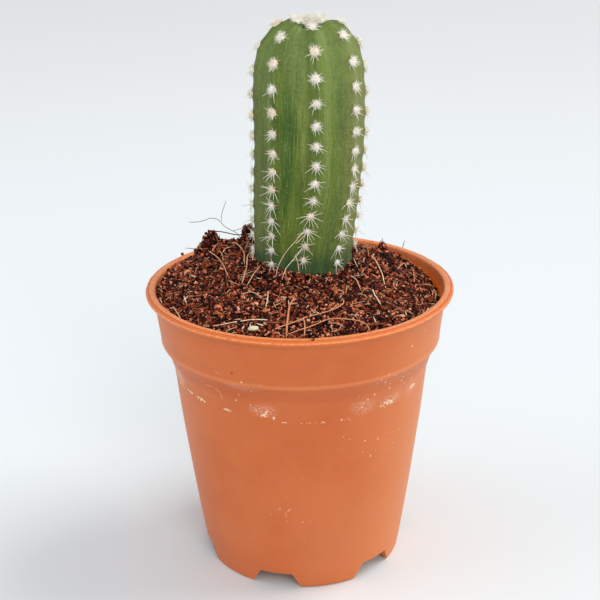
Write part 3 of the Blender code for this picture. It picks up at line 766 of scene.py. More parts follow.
crest_points = [point * MM for point in curve_through(CREST, 10)]
crest_lengths = [0.0]
for first, second in zip(crest_points, crest_points[1:]):
    crest_lengths.append(crest_lengths[-1] + (second - first).length)
crest_total = crest_lengths[-1]
start_length = next(length for length, point in zip(crest_lengths, crest_points)
                    if point.y >= AREOLE_START)
areole_lengths = [(start_length + AREOLE_STEP * number + AREOLE_STRETCH * number ** 3, number)
                  for number in COUNTED_AREOLES]


def areole_index(length):
    """Where a length up the crest falls among the cushions, as a running number."""
    return between(areole_lengths, length)


bm = bmesh.new()
line = [bm.verts.new((point.x, 0.0, point.y)) for point in crest_points]
for pair in zip(line, line[1:]):
    bm.edges.new(pair)
crest_line = new_piece("crest_line", bm)
for title, values in (
        ("furrow", [between(FURROWS, point.y / MM) * MM for point in crest_points]),
        ("lean", [STEM_LEAN * ease(point.y, *LEAN_HEIGHTS) for point in crest_points]),
        ("count", [areole_index(length) for length in crest_lengths])):
    data = crest_line.data.attributes.new(title, "FLOAT", "POINT").data
    data.foreach_set("value", values)
print("crest length in mm", round(crest_total / MM, 1))

# %% [markdown]
# A node group that knows the stem
# Skin, cushions and spines all need the same question answered: where is the point at this
# length up the crest and this turn round the stem, and which way is out? One geometry group
# answers it, so everything stays in step if a size changes.

# %% Stem place group
stem_place, given, end = new_group(
    "GeometryNodeTree", "stem_place",
    [("Crest", GEOMETRY, None), ("Length", FLOAT, 0.0), ("Turn", FLOAT, 0.0),
     ("Swelling", FLOAT, 0.0)],
    [("Position", VECTOR), ("Outwards", VECTOR), ("Upwards", VECTOR), ("Beside", FLOAT),
     ("Count", FLOAT)])


def sample_crest(title):
    """Sample Curve node that reads one attribute of the crest line at the given length."""
    read = add_node(stem_place, "GeometryNodeInputNamedAttribute", {"Name": title},
                    data_type="FLOAT")
    return add_node(stem_place, "GeometryNodeSampleCurve",
                    {"Curves": given["Crest"], "Value": read.outputs["Attribute"],
                     "Length": given["Length"]},
                    mode="LENGTH", data_type="FLOAT", use_all_curves=True)


furrow, lean, count = [sample_crest(title) for title in ("furrow", "lean", "count")]
place = add_node(stem_place, "ShaderNodeSeparateXYZ", {0: furrow.outputs["Position"]})
run = add_node(stem_place, "ShaderNodeSeparateXYZ", {0: furrow.outputs["Tangent"]})
radius, height = [Value(stem_place, place.outputs[name]) for name in "XZ"]
run_out, run_up = [Value(stem_place, run.outputs[name]) for name in "XZ"]
rib = given["Turn"] * (RIB_COUNT / math.tau) + 0.5
beside = rib.math("FRACT") - 0.5
wave = (beside * math.pi).math("SINE").math("POWER", 2.0)
areole_count = Value(stem_place, count.outputs["Value"]) + rib.math("FLOOR") + 1.0
beat = (areole_count * math.pi).math("COSINE")
crestness = (beside * math.pi).math("COSINE").math("POWER", 3.0)
offset = (given["Swelling"] * beat * crestness
          - Value(stem_place, furrow.outputs["Value"]) * wave)
radius = radius + offset * run_up
height = height - offset * run_out
heading = given["Turn"] + math.radians(RIB_FIRST_ANGLE)
gather = height.ramp(*GATHER_HEIGHTS, math.radians(GATHER_TURN), 0.0)
heading = heading - (heading - math.radians(GATHER_ANGLE)).math("SINE") * gather
east, north = heading.math("SINE"), heading.math("COSINE") * -1.0
aside = Value(stem_place, lean.outputs["Value"])
link_up(stem_place, end, {
    "Position": vector_of(stem_place, radius * east + aside + STEM_PLACE.x,
                          radius * north + STEM_PLACE.y, height),
    "Outwards": vector_of(stem_place, run_up * east, run_up * north, run_out * -1.0),
    "Upwards": vector_of(stem_place, run_out * east, run_out * north, run_up),
    "Beside": beside, "Count": areole_count})
print("stem_place nodes", len(stem_place.nodes))

# %% [markdown]
# Small tools for geometry trees
# The trees that follow store numbers on their points, read them back, move the points and
# draw random numbers from a fixed seed. Those that make a piece all end in the same three
# nodes. Each of these steps gets a short function.

# %% Geometry helpers
def new_geometry_tree(name, inputs):
    """A tree for a modifier, with the given named inputs beside its geometry."""
    group, given, end = new_group("GeometryNodeTree", name,
                                  [("Geometry", GEOMETRY, None), *inputs],
                                  [("Geometry", GEOMETRY)])
    group.is_modifier = True
    return group, given, end


def crest_curve(tree, line_object):
    info = add_node(tree, "GeometryNodeObjectInfo", {"Object": line_object})
    return add_node(tree, "GeometryNodeMeshToCurve", {"Mesh": info.outputs["Geometry"]})


def stem_points(tree, given, length, turn):
    """The stem group, set to the place at a length up the crest and a turn round the stem."""
    curve = crest_curve(tree, given["Crest Line"])
    return add_node(tree, "GeometryNodeGroup",
                    {"Crest": curve.outputs[0], "Length": length, "Turn": turn,
                     "Swelling": given["Swelling"]}, node_tree=stem_place)


def store(tree, geometry, title, value, kind="FLOAT"):
    return add_node(tree, "GeometryNodeStoreNamedAttribute",
                    {"Geometry": geometry, "Name": title, "Value": value},
                    data_type=kind, domain="POINT").outputs[0]


def named(tree, title, kind="FLOAT"):
    made = add_node(tree, "GeometryNodeInputNamedAttribute", {"Name": title}, data_type=kind)
    return (Arrow if kind == "FLOAT_VECTOR" else Value)(tree, made.outputs["Attribute"])


def move(tree, geometry, **inputs):
    """Moves points to a Position, or by an Offset."""
    return add_node(tree, "GeometryNodeSetPosition",
                    {"Geometry": geometry, **inputs}).outputs[0]


def realize(tree, geometry):
    return add_node(tree, "GeometryNodeRealizeInstances", {"Geometry": geometry}).outputs[0]


def random_number(tree, low, high, seed):
    made = add_node(tree, "FunctionNodeRandomValue", {2: low, 3: high, 8: seed},
                    data_type="FLOAT")
    return Value(tree, made.outputs[1])


def random_arrow(tree, low, high, seed):
    made = add_node(tree, "FunctionNodeRandomValue", {0: (low,) * 3, 1: (high,) * 3, 8: seed},
                    data_type="FLOAT_VECTOR")
    return Arrow(tree, made.outputs[0])


def noise_push(tree, scale, detail=1.0):
    """A vector from noise, about as often one way as the other."""
    made = add_node(tree, "ShaderNodeTexNoise", {"Scale": scale, "Detail": detail})
    return Arrow(tree, made.outputs["Color"]) - (0.5, 0.5, 0.5)


def tubes_along(tree, curves, sides, radius, scale):
    """Round tubes along curves, with closed ends and a scale for each point."""
    profile = add_node(tree, "GeometryNodeCurvePrimitiveCircle",
                       {"Resolution": sides, "Radius": radius})
    return add_node(tree, "GeometryNodeCurveToMesh",
                    {"Curve": curves, "Profile Curve": profile.outputs[0], "Scale": scale,
                     "Fill Caps": True}).outputs[0]


def realize_and_finish(tree, geometry, finish, end, smooth=True):
    shaded = add_node(tree, "GeometryNodeSetShadeSmooth",
                      {"Geometry": geometry, "Shade Smooth": smooth}).outputs[0]
    dressed = add_node(tree, "GeometryNodeSetMaterial",
                       {"Geometry": realize(tree, shaded), "Material": finish})
    link_up(tree, end, {"Geometry": dressed.outputs[0]})


def apply_tree(name, tree, values, source=None):
    """A new piece made by a tree with named inputs, from a copy of the source if there is one."""
    if source is None:
        piece = new_piece(name, bmesh.new())
    else:
        piece = bpy.data.objects.new(name, source.data.copy())
        scene.collection.objects.link(piece)
    modifier = piece.modifiers.new(name, "NODES")
    modifier.node_group = tree
    for item in tree.interface.items_tree:
        if item.item_type == "SOCKET" and item.in_out == "INPUT" and item.name in values:
            modifier[item.identifier] = values[item.name]
    return keep_result(piece)


print("geometry helpers ready")

# %% [markdown]
# The skin
# A flat grid is laid over the stem: its columns go round and its rows go up the crest line.
# The group above gives every grid point its place. Sideways position between ribs and the
# count of cushions are stored as attributes, so that the finish can follow them.

# %% Stem skin
SKIN_AROUND = 288
SKIN_UP = 300
SWELLING = 0.143 * MM
SKIN_UNEVENNESS = 0.22 * MM

skin_tree, given, end = new_geometry_tree(
    "ribbed_stem",
    [("Crest Line", OBJECT, None), ("Around", WHOLE, 64), ("Up", WHOLE, 64),
     ("Crest Length", FLOAT, 0.1), ("Swelling", FLOAT, 0.0), ("Unevenness", FLOAT, 0.0),
     ("Finish", MATERIAL, None)])
grid = add_node(skin_tree, "GeometryNodeMeshGrid",
                {"Size X": 1.0, "Size Y": 1.0, "Vertices X": given["Around"],
                 "Vertices Y": given["Up"]})
flat = add_node(skin_tree, "ShaderNodeSeparateXYZ",
                {0: add_node(skin_tree, "GeometryNodeInputPosition").outputs[0]})
round_share, up_share = [Value(skin_tree, flat.outputs[name]) + 0.5 for name in "XY"]
place = stem_points(skin_tree, given, up_share * given["Crest Length"], round_share * math.tau)
geometry = grid.outputs["Mesh"]
for title, value in (("beside", place.outputs["Beside"]), ("count", place.outputs["Count"]),
                     ("turn", round_share)):
    geometry = store(skin_tree, geometry, title, value)
geometry = store(skin_tree, geometry, "out", place.outputs["Outwards"], "FLOAT_VECTOR")
geometry = move(skin_tree, geometry, Position=place.outputs["Position"])
drift = add_node(skin_tree, "ShaderNodeTexNoise", {"Scale": 95.0, "Detail": 2.0})
push = (Value(skin_tree, drift.outputs[0]) - 0.5) * given["Unevenness"]
geometry = move(skin_tree, geometry, Offset=named(skin_tree, "out", "FLOAT_VECTOR") * push)
closed = add_node(skin_tree, "GeometryNodeMergeByDistance",
                  {"Geometry": geometry, "Distance": 0.004 * MM})
realize_and_finish(skin_tree, closed.outputs[0], given["Finish"], end)
print("skin tree nodes", len(skin_tree.nodes))

# %% [markdown]
# Waxy green skin
# The skin has deep and pale patches with fine pale streaks up it, a brownish tint round each
# areole with painted spine shadow, and painted shadow below the crown tuft. A painted
# reflection greys the left flank, painted light turns the right flank olive and lightens the
# right half, and it is paler where it is young at the top and dark blue-green at the base. The
# stored attributes say how far a point is from the crest, and the object coordinates say how
# high it is.

# %% Skin finish
# The two rows at 6 degrees near the top are painted shadow below the crown tuft and an upper
# areole; the rest are deeper green
DEEP_AND_SHADED_PATCHES = [(-25.0, 112.0, 9.0, 24.0, 0.0, 0.9), (38.0, 122.0, 8.0, 12.0, 0.0, 1.0),
                (37.0, 98.0, 7.0, 16.0, 0.0, 0.7), (6.0, 138.5, 7.0, 2.2, 0.0, 0.9),
                (6.0, 131.5, 6.0, 1.6, 0.0, 0.9), (-36.0, 96.0, 8.0, 10.0, 0.0, 0.7),
                (150.0, 110.0, 10.0, 22.0, 0.0, 0.8), (-120.0, 118.0, 9.0, 18.0, 0.0, 0.9),
                (85.0, 104.0, 9.0, 20.0, 0.0, 0.7)]
PALE_PATCHES = [(-8.0, 124.0, 7.0, 22.0, 0.0, 0.9), (20.0, 118.0, 8.0, 26.0, 0.0, 1.0),
                (-50.0, 120.0, 8.0, 24.0, 0.0, 0.6), (110.0, 116.0, 9.0, 24.0, 0.0, 0.8),
                (-160.0, 112.0, 9.0, 26.0, 0.0, 0.9), (-95.0, 106.0, 8.0, 24.0, 0.0, 0.7)]
# How far it is once round the stem, to lay the flecks out flat
STEM_GIRTH = 88.0 * MM

skin_finish, tree, shader = new_finish(
    "cactus_skin", Roughness=0.5, IOR=1.42, Specular_IOR_Level=0.3, Subsurface_Weight=0.12,
    Subsurface_Radius=(0.5, 1.0, 0.25), Subsurface_Scale=1.0 * MM)
coordinates = object_place(tree)
axes = add_node(tree, "ShaderNodeSeparateXYZ", {0: coordinates})
across, height = Value(tree, axes.outputs["X"]), Value(tree, axes.outputs["Z"])
beside = kept_value(tree, "beside").math("ABSOLUTE")
turn, count = kept_value(tree, "turn"), kept_value(tree, "count")
heading = turn * 360.0 + RIB_FIRST_ANGLE
wobble = turn + noise_value(tree, coordinates, 140.0, 2.0) * 0.02
streaks = noise_value(tree, vector_of(tree, wobble * 300.0, height * 110.0, 0.0), 1.0, 5.0, 0.7)
lines = noise_value(tree, vector_of(tree, wobble * 90.0, height * 35.0, 7.0), 1.0, 2.0)
lines = (lines - 0.5).math("ABSOLUTE").ramp(0.0, 0.035, 1.0, 0.0)
broad = noise_value(tree, vector_of(tree, turn * 40.0, height * 70.0, 3.0), 1.0, 4.0)
grain = noise_value(tree, coordinates, 1500.0, 3.0, 0.7)
flecks = add_node(tree, "ShaderNodeGroup",
                  {"Vector": coordinates, "Dots Per Metre": 1100.0, "Dot Size": 0.13 * MM,
                   "Amount": broad.ramp(0.3, 0.7, 0.25, 0.6),
                   "Unrolled": vector_of(tree, turn * STEM_GIRTH, height * 0.8, 0.0)},
                  node_tree=grime)

colour = mix_colour(tree, broad.ramp(0.35, 0.65), (0.124, 0.182, 0.016),
                    (0.068, 0.116, 0.009))
deep_and_shaded = placed_blotches(tree, heading, height, DEEP_AND_SHADED_PATCHES)
pale = placed_blotches(tree, heading, height, PALE_PATCHES)
# Deeper green patches, with painted shadow near the top
colour = mix_colour(tree, deep_and_shaded * 0.85, colour, (0.034, 0.098, 0.010))
pale = pale * 0.40 + streaks.ramp(0.50, 0.64) * (pale * 0.4 + 0.40)
colour = mix_colour(tree, pale, colour, (0.255, 0.325, 0.085))
colour = mix_colour(tree, lines * beside.ramp(0.08, 0.3) * 0.4, colour, (0.290, 0.360, 0.110))
# Painted reflection greys the left flank and painted light turns the right flank olive
colour = mix_colour(tree, across.ramp(-6.0 * MM, -12.5 * MM) * 0.6, colour,
                    (0.145, 0.158, 0.062))
colour = mix_colour(tree, across.ramp(8.5 * MM, 14.5 * MM) * 0.6, colour,
                    (0.240, 0.215, 0.080))
# A brownish tint with painted spine shadow round each areole
near = ((count - 0.22) * math.pi).math("COSINE").ramp(0.6, 1.0) * beside.ramp(0.1, 0.3, 1.0, 0.0)
colour = mix_colour(tree, near * 0.5, colour, (0.150, 0.120, 0.025))
young = (beside.ramp(0.1, 0.5) * 0.7 + 0.3) * height.ramp(116.0 * MM, 138.0 * MM)
colour = mix_colour(tree, young * (streaks * 0.8 + 0.3), colour, (0.215, 0.300, 0.085))
# Painted light: the right half of the stem is painted a lighter green
painted_light_side = across.ramp(0.0, 7.0 * MM) * (broad * 0.4)
colour = mix_colour(tree, painted_light_side, colour, (0.245, 0.310, 0.085))
base_share = height.ramp(89.0 * MM, 81.5 * MM) * (broad * 1.2 + 0.1)
colour = mix_colour(tree, base_share, colour, (0.024, 0.070, 0.036))
colour = mix_colour(tree, grain.ramp(0.3, 0.56, 0.34, 0.0), colour, (0.020, 0.045, 0.008))
colour = mix_colour(tree, Value(tree, flecks.outputs["Dots"]) * 0.5, colour,
                    (0.380, 0.440, 0.200))
pores = noise_value(tree, coordinates, 2600.0, 2.0)
relief = streaks * 0.9 + pores * 0.3 + broad * 0.8 - lines * 0.3
link_up(tree, shader, {"Base Color": colour, "Roughness": broad * 0.2 + 0.42,
                       "Normal": bump(tree, relief, 0.11 * MM)})

stem_skin = apply_tree("stem_skin", skin_tree, {
    "Crest Line": crest_line, "Around": SKIN_AROUND + 1, "Up": SKIN_UP,
    "Crest Length": crest_total, "Swelling": SWELLING, "Unevenness": SKIN_UNEVENNESS,
    "Finish": skin_finish})
put_in_place(stem_skin, "cactus_skin", "cactus")

# %% [markdown]
# Where the cushions sit
# Along each rib the woolly cushions, called areoles, stand a little further apart the
# higher they are, and neighbouring ribs are half a step out of line. A list of points
# gets its places from the stem group, and each point also keeps its outward and upward way.

# %% Areole places
ROWS_PER_RIB = 14

areole_tree, given, end = new_geometry_tree(
    "areole_places",
    [("Crest Line", OBJECT, None), ("First Length", FLOAT, 0.0), ("Step", FLOAT, 0.0),
     ("Stretch", FLOAT, 0.0), ("Rows", WHOLE, 1), ("Swelling", FLOAT, 0.0)])
points = add_node(areole_tree, "GeometryNodePoints",
                  {"Count": given["Rows"] * float(RIB_COUNT)})
index = Value(areole_tree, add_node(areole_tree, "GeometryNodeInputIndex").outputs[0])
rib = index.math("MODULO", float(RIB_COUNT))
number = (index / float(RIB_COUNT)).math("FLOOR") * 2.0 + 1.0 - rib.math("MODULO", 2.0)
length = (number * number * given["Stretch"] + given["Step"]) * number
length = length + given["First Length"]
place = stem_points(areole_tree, given, length, rib * (math.tau / RIB_COUNT))
geometry = store(areole_tree, points.outputs[0], "out", place.outputs["Outwards"],
                 "FLOAT_VECTOR")
geometry = store(areole_tree, geometry, "up", place.outputs["Upwards"], "FLOAT_VECTOR")
geometry = store(areole_tree, geometry, "growth", number / float(AREOLE_LAST))
geometry = move(areole_tree, geometry, Position=place.outputs["Position"])
geometry = add_node(areole_tree, "GeometryNodePointsToVertices", {"Points": geometry})
link_up(areole_tree, end, {"Geometry": geometry.outputs[0]})
areoles = apply_tree("areoles", areole_tree, {
    "Crest Line": crest_line, "First Length": start_length, "Step": AREOLE_STEP,
    "Stretch": AREOLE_STRETCH, "Rows": ROWS_PER_RIB, "Swelling": SWELLING})
print("areoles", len(areoles.data.vertices))

# %% [markdown]
# The tuft tree
# Wool, fuzz and spines are one idea: many hairs that start on a small cushion, lean away
# from its middle, bend and thin out. The tree copies each areole point once a hair, works out
# where the hair starts and points, and turns a short line into a tapered tube.

# %% Tuft tree
tuft_tree, given, end = new_geometry_tree(
    "tufts",
    [("Hairs", WHOLE, 10), ("Pad Low", FLOAT, 0.0),
     ("Pad High", FLOAT, 0.0), ("Pad Rise", FLOAT, 0.0), ("Fan", FLOAT, 0.0),
     ("Lean Middle", FLOAT, 0.0), ("Lean Edge", FLOAT, 1.0), ("Length Low", FLOAT, 0.0),
     ("Length High", FLOAT, 0.0), ("Length Bulge", FLOAT, 0.0),
     ("Length Spread", FLOAT, 0.5), ("Short Above", FLOAT, 0.0), ("Droop", FLOAT, 0.0),
     ("Curl", FLOAT, 0.0), ("Thick Low", FLOAT, 0.0), ("Thick High", FLOAT, 0.0),
     ("Taper", FLOAT, 0.8), ("Sides", WHOLE, 3), ("Steps", WHOLE, 2), ("Seed", WHOLE, 1),
     ("Finish", MATERIAL, None)])
tinted = store(tuft_tree, given["Geometry"], "tint",
               random_number(tuft_tree, 0.0, 1.0, given["Seed"]))
copies = add_node(tuft_tree, "GeometryNodeDuplicateElements",
                  {"Geometry": tinted, "Amount": given["Hairs"]}, domain="POINT")
which = Value(tuft_tree, copies.outputs["Duplicate Index"])
chance = random_number(tuft_tree, 0.0, 1.0, given["Seed"] + 1.0)
jitter = random_number(tuft_tree, -0.25, 0.25, given["Seed"] + 2.0)
even = (which + jitter) / given["Hairs"]
around = (chance + (even - chance) * given["Fan"]) * math.tau
reach = random_number(tuft_tree, 0.0, 1.0, given["Seed"] + 3.0).math("SQRT")
growth = named(tuft_tree, "growth")
out, up = named(tuft_tree, "out", "FLOAT_VECTOR"), named(tuft_tree, "up", "FLOAT_VECTOR")
sideways = out.cross(up)
away = sideways * around.math("COSINE") + up * around.math("SINE")
pad = given["Pad Low"] + (given["Pad High"] - given["Pad Low"]) * growth
rise = given["Pad Rise"] * (reach * reach * -1.0 + 1.0)
lean = given["Lean Middle"] + (given["Lean Edge"] - given["Lean Middle"]) * reach
pointing = out * lean.math("COSINE") + away * lean.math("SINE")
length = given["Length Low"] + (given["Length High"] - given["Length Low"]) * growth
bulge = (growth - 0.3).math("ABSOLUTE").ramp(0.0, 0.3, 1.0, 0.0)
length = length + bulge * given["Length Bulge"]
shorter = random_number(tuft_tree, 0.0, 1.0, given["Seed"] + 4.0) * given["Length Spread"]
above = around.math("SINE").ramp(0.0, 0.9) * given["Short Above"]
length = length * (shorter * -1.0 + 1.0) * (above * -1.0 + 1.0)
down = Arrow(tuft_tree, vector_of(tuft_tree, 0.0, 0.0, -1.0))
curl = random_arrow(tuft_tree, -1.0, 1.0, given["Seed"] + 5.0)
bend = down * (length * given["Droop"]) + curl * (length * given["Curl"])
placed = move(tuft_tree, copies.outputs["Geometry"],
              Offset=away * (pad * reach) + out * rise)
placed = store(tuft_tree, placed, "bend", bend, "FLOAT_VECTOR")
hair = add_node(tuft_tree, "GeometryNodeCurvePrimitiveLine", {"End": (0.0, 0.0, 1.0)})
hair = add_node(tuft_tree, "GeometryNodeResampleCurve",
                {"Curve": hair.outputs[0], "Count": given["Steps"] + 1.0})
turned = add_node(tuft_tree, "FunctionNodeAlignRotationToVector", {"Vector": pointing},
                  axis="Z")
hairs = add_node(tuft_tree, "GeometryNodeInstanceOnPoints",
                 {"Points": placed, "Instance": hair.outputs[0],
                  "Rotation": turned.outputs[0],
                  "Scale": vector_of(tuft_tree, length, length, length)})
along = Value(tuft_tree, add_node(tuft_tree, "GeometryNodeSplineParameter").outputs["Factor"])
bent = move(tuft_tree, realize(tuft_tree, hairs.outputs[0]),
            Offset=named(tuft_tree, "bend", "FLOAT_VECTOR") * (along * along))
bent = store(tuft_tree, bent, "along", along)
thickness = given["Thick Low"] + (given["Thick High"] - given["Thick Low"]) * growth
thickness = (along * given["Taper"] * -1.0 + 1.0) * thickness * 0.5
tubes = tubes_along(tuft_tree, bent, given["Sides"], 1.0, thickness)
realize_and_finish(tuft_tree, tubes, given["Finish"], end)
print("tuft tree nodes", len(tuft_tree.nodes))

# %% [markdown]
# Wool and spines
# Wool is cream and felted, so each areole gets a soft low dome and short fine hairs all over
# it. The spines are thin and pale, spread like a fan, and longest about a third of the way up.

# %% Wool and spine finishes
wool_finish, tree, shader = new_finish(
    "areole_wool", Roughness=0.95, Sheen_Weight=0.15, Sheen_Roughness=0.5,
    Subsurface_Weight=0.3, Subsurface_Radius=(1.0, 0.85, 0.65), Subsurface_Scale=0.4 * MM)
tint = kept_value(tree, "tint")
fleck = noise_value(tree, object_place(tree), 1500.0, 2.0)
colour = mix_colour(tree, tint.ramp(0.65, 1.0) * 0.8, (0.98, 0.92, 0.81),
                    (0.90, 0.69, 0.48))
colour = mix_colour(tree, fleck.ramp(0.45, 0.65) * 0.6, colour, (0.99, 0.96, 0.90))
link_up(tree, shader, {"Base Color": colour, "Normal": bump(tree, fleck, 0.08 * MM)})

spine_finish, tree, shader = new_finish(
    "spines", Roughness=0.42, Subsurface_Weight=0.2, Subsurface_Radius=(1.0, 0.8, 0.5),
    Subsurface_Scale=0.3 * MM)
along, tint = kept_value(tree, "along"), kept_value(tree, "tint")
colour = mix_colour(tree, along.ramp(0.5, 1.0) * 0.4, (0.98, 0.94, 0.80),
                    (0.92, 0.84, 0.60))
colour = mix_colour(tree, tint.ramp(0.6, 1.0) * 0.3, colour, (0.82, 0.78, 0.48))
relief = noise_value(tree, object_place(tree), 4000.0)
link_up(tree, shader, {"Base Color": colour, "Normal": bump(tree, relief, 0.01 * MM)})
print("finishes", wool_finish.name, spine_finish.name)

# %% Areole pads
PAD_LOW = 0.62 * MM
PAD_HIGH = 1.05 * MM
PAD_RISE = 0.55 * MM

pad_tree, given, end = new_geometry_tree(
    "pads", [("Pad Low", FLOAT, 0.0), ("Pad High", FLOAT, 0.0), ("Pad Rise", FLOAT, 0.0),
             ("Lumps", FLOAT, 0.0), ("Seed", WHOLE, 1), ("Finish", MATERIAL, None)])
size = given["Pad Low"] + (given["Pad High"] - given["Pad Low"]) * named(pad_tree, "growth")
size = size * random_number(pad_tree, 0.85, 1.15, given["Seed"])
tinted = store(pad_tree, given["Geometry"], "tint",
               random_number(pad_tree, 0.0, 1.0, given["Seed"]))
turned = add_node(pad_tree, "FunctionNodeAlignRotationToVector",
                  {"Vector": named(pad_tree, "out", "FLOAT_VECTOR")}, axis="Z")
ball = add_node(pad_tree, "GeometryNodeMeshIcoSphere", {"Radius": 1.0, "Subdivisions": 3})
balls = add_node(pad_tree, "GeometryNodeInstanceOnPoints",
                 {"Points": tinted, "Instance": ball.outputs[0],
                  "Rotation": turned.outputs[0],
                  "Scale": vector_of(pad_tree, size, size, given["Pad Rise"])})
lumpy = move(pad_tree, realize(pad_tree, balls.outputs[0]),
             Offset=noise_push(pad_tree, 1400.0) * given["Lumps"])
realize_and_finish(pad_tree, lumpy, given["Finish"], end)
pads = apply_tree("areole_pads", pad_tree, {
    "Pad Low": PAD_LOW * 0.85, "Pad High": PAD_HIGH * 0.95, "Pad Rise": PAD_RISE,
    "Lumps": 0.9 * MM, "Seed": 3, "Finish": wool_finish}, areoles)
put_in_place(pads, "areole_wool", "cactus")

# %% Wool
wool = apply_tree("areole_wool", tuft_tree, {
    "Hairs": 110, "Pad Low": PAD_LOW * 0.9, "Pad High": PAD_HIGH * 1.1, "Pad Rise": PAD_RISE,
    "Lean Middle": 0.2, "Lean Edge": 1.4, "Length Low": 0.55 * MM, "Length High": 1.05 * MM,
    "Length Spread": 0.8, "Curl": 0.4, "Thick Low": 0.09 * MM, "Thick High": 0.13 * MM,
    "Taper": 0.6, "Sides": 3, "Steps": 2, "Seed": 3, "Finish": wool_finish}, areoles)
put_in_place(wool, "areole_wool")

# %% Spines
spines = apply_tree("spines", tuft_tree, {
    "Hairs": 13, "Pad Low": 0.3 * MM, "Pad High": 0.7 * MM, "Pad Rise": 0.2 * MM, "Fan": 1.0,
    "Lean Middle": 0.5, "Lean Edge": 1.45, "Length Low": 2.9 * MM, "Length High": 2.5 * MM,
    "Length Bulge": 1.1 * MM, "Length Spread": 0.6, "Short Above": 0.35, "Droop": 0.08,
    "Curl": 0.12, "Thick Low": 0.19 * MM, "Thick High": 0.21 * MM, "Taper": 0.7, "Sides": 4,
    "Steps": 4, "Seed": 11, "Finish": spine_finish}, areoles)
put_in_place(spines, "spines", "cactus")

# %% [markdown]
# The growing point
# New areoles crowd together in the notch at the very top, and their wool stands up as a
# tuft with short young spines in it. A few extra points in the notch grow from the same tree.

# %% Crown
CROWN_PLACE = STEM_PLACE + Vector((STEM_LEAN, 0.0, 141.0 * MM))
CROWN_POINTS = 7
CROWN_REACH = 2.4 * MM
# Turn from one point to the next in degrees, which spreads them evenly as in a flower head
GOLDEN_ANGLE = 137.5

bm = bmesh.new()
arrows = {"out": bm.verts.layers.float_vector.new("out"),
          "up": bm.verts.layers.float_vector.new("up")}
growth_layer = bm.verts.layers.float.new("growth")
for index in range(CROWN_POINTS):
    turn = index * math.radians(GOLDEN_ANGLE)
    reach = CROWN_REACH * math.sqrt(index / CROWN_POINTS)
    flat = Vector((math.cos(turn), math.sin(turn), 0.0))
    vert = bm.verts.new(CROWN_PLACE + flat * reach)
    vert[arrows["out"]] = (flat * 0.5 * reach / CROWN_REACH + Vector((0, 0, 1))).normalized()
    vert[arrows["up"]] = flat.orthogonal().normalized()
    vert[growth_layer] = 1.0
crown = new_piece("crown_points", bm)
crown_wool = apply_tree("crown_wool", tuft_tree, {
    "Hairs": 90, "Pad High": 0.8 * MM, "Pad Rise": 0.5 * MM, "Lean Middle": 0.1,
    "Lean Edge": 1.2, "Length High": 1.9 * MM, "Length Spread": 0.85, "Curl": 0.5,
    "Thick High": 0.11 * MM, "Taper": 0.6, "Sides": 3, "Steps": 3, "Seed": 21,
    "Finish": wool_finish}, crown)
put_in_place(crown_wool, "areole_wool", "cactus")
crown_spines = apply_tree("crown_spines", tuft_tree, {
    "Hairs": 12, "Pad High": 0.5 * MM, "Pad Rise": 0.5 * MM, "Fan": 1.0, "Lean Middle": 0.2,
    "Lean Edge": 1.0, "Length High": 3.6 * MM, "Length Spread": 0.5, "Curl": 0.1,
    "Thick High": 0.11 * MM, "Taper": 0.7, "Sides": 4, "Steps": 3, "Seed": 22,
    "Finish": spine_finish}, crown)
put_in_place(crown_spines, "spines", "cactus")
drop(crown, areoles)

# %% [markdown]
# How high the soil lies
# The growing medium is heaped round the stem, sinks towards the wall at the back right and
# rises into a loose mound at the back left. One function of place gives the height, and
# everything that lies on the soil asks it.

# %% Soil height
# All in mm; a dip or a heap is an angle, a half angle and a rise
WALL_HEIGHT = 74.4
WALL_DIPS = [(0.0, 30.0, -3.4), (128.0, 35.0, 1.3)]
STEM_HEIGHT = 80.2
STEM_HEAPS = [(150.0, 60.0, 2.0), (-115.0, 35.0, 0.7), (-55.0, 30.0, -0.8)]
# Place, rise and spread; clods have steeper sides than clumps
SOIL_CLUMPS = [(-21.0, 18.4, 2.7, 5.2), (-13.6, 19.8, 1.2, 3.4), (-28.0, 11.0, 1.4, 4.5),
               (12.0, -22.0, 0.9, 7.0), (-16.0, -16.0, 0.8, 6.0), (20.0, 18.0, 1.0, 5.0)]
CLODS = [(-24.2, 19.3, 4.2, 1.9), (-26.9, 18.6, 2.6, 1.5), (-13.9, 20.0, 3.7, 1.9),
         (-17.8, 20.2, 0.9, 1.1), (23.3, 24.6, 3.4, 1.1), (26.5, 20.5, 1.0, 1.8),
         (-19.5, -24.0, 0.7, 1.6), (17.0, -12.0, 0.7, 1.7), (27.5, -9.0, 0.6, 1.5)]
SOIL_WAVE_SIZE = 8.0
SOIL_WAVE_RISE = 0.7
STEM_STRAIGHT_TO = 135.0 * MM
crest_by_height = [(point.y / MM, point.x / MM) for point in crest_points
                   if point.y < STEM_STRAIGHT_TO]


def bell(angle, centre, width):
    away = (angle - centre + 180.0) % 360.0 - 180.0
    return math.exp(-((away / width) ** 2))


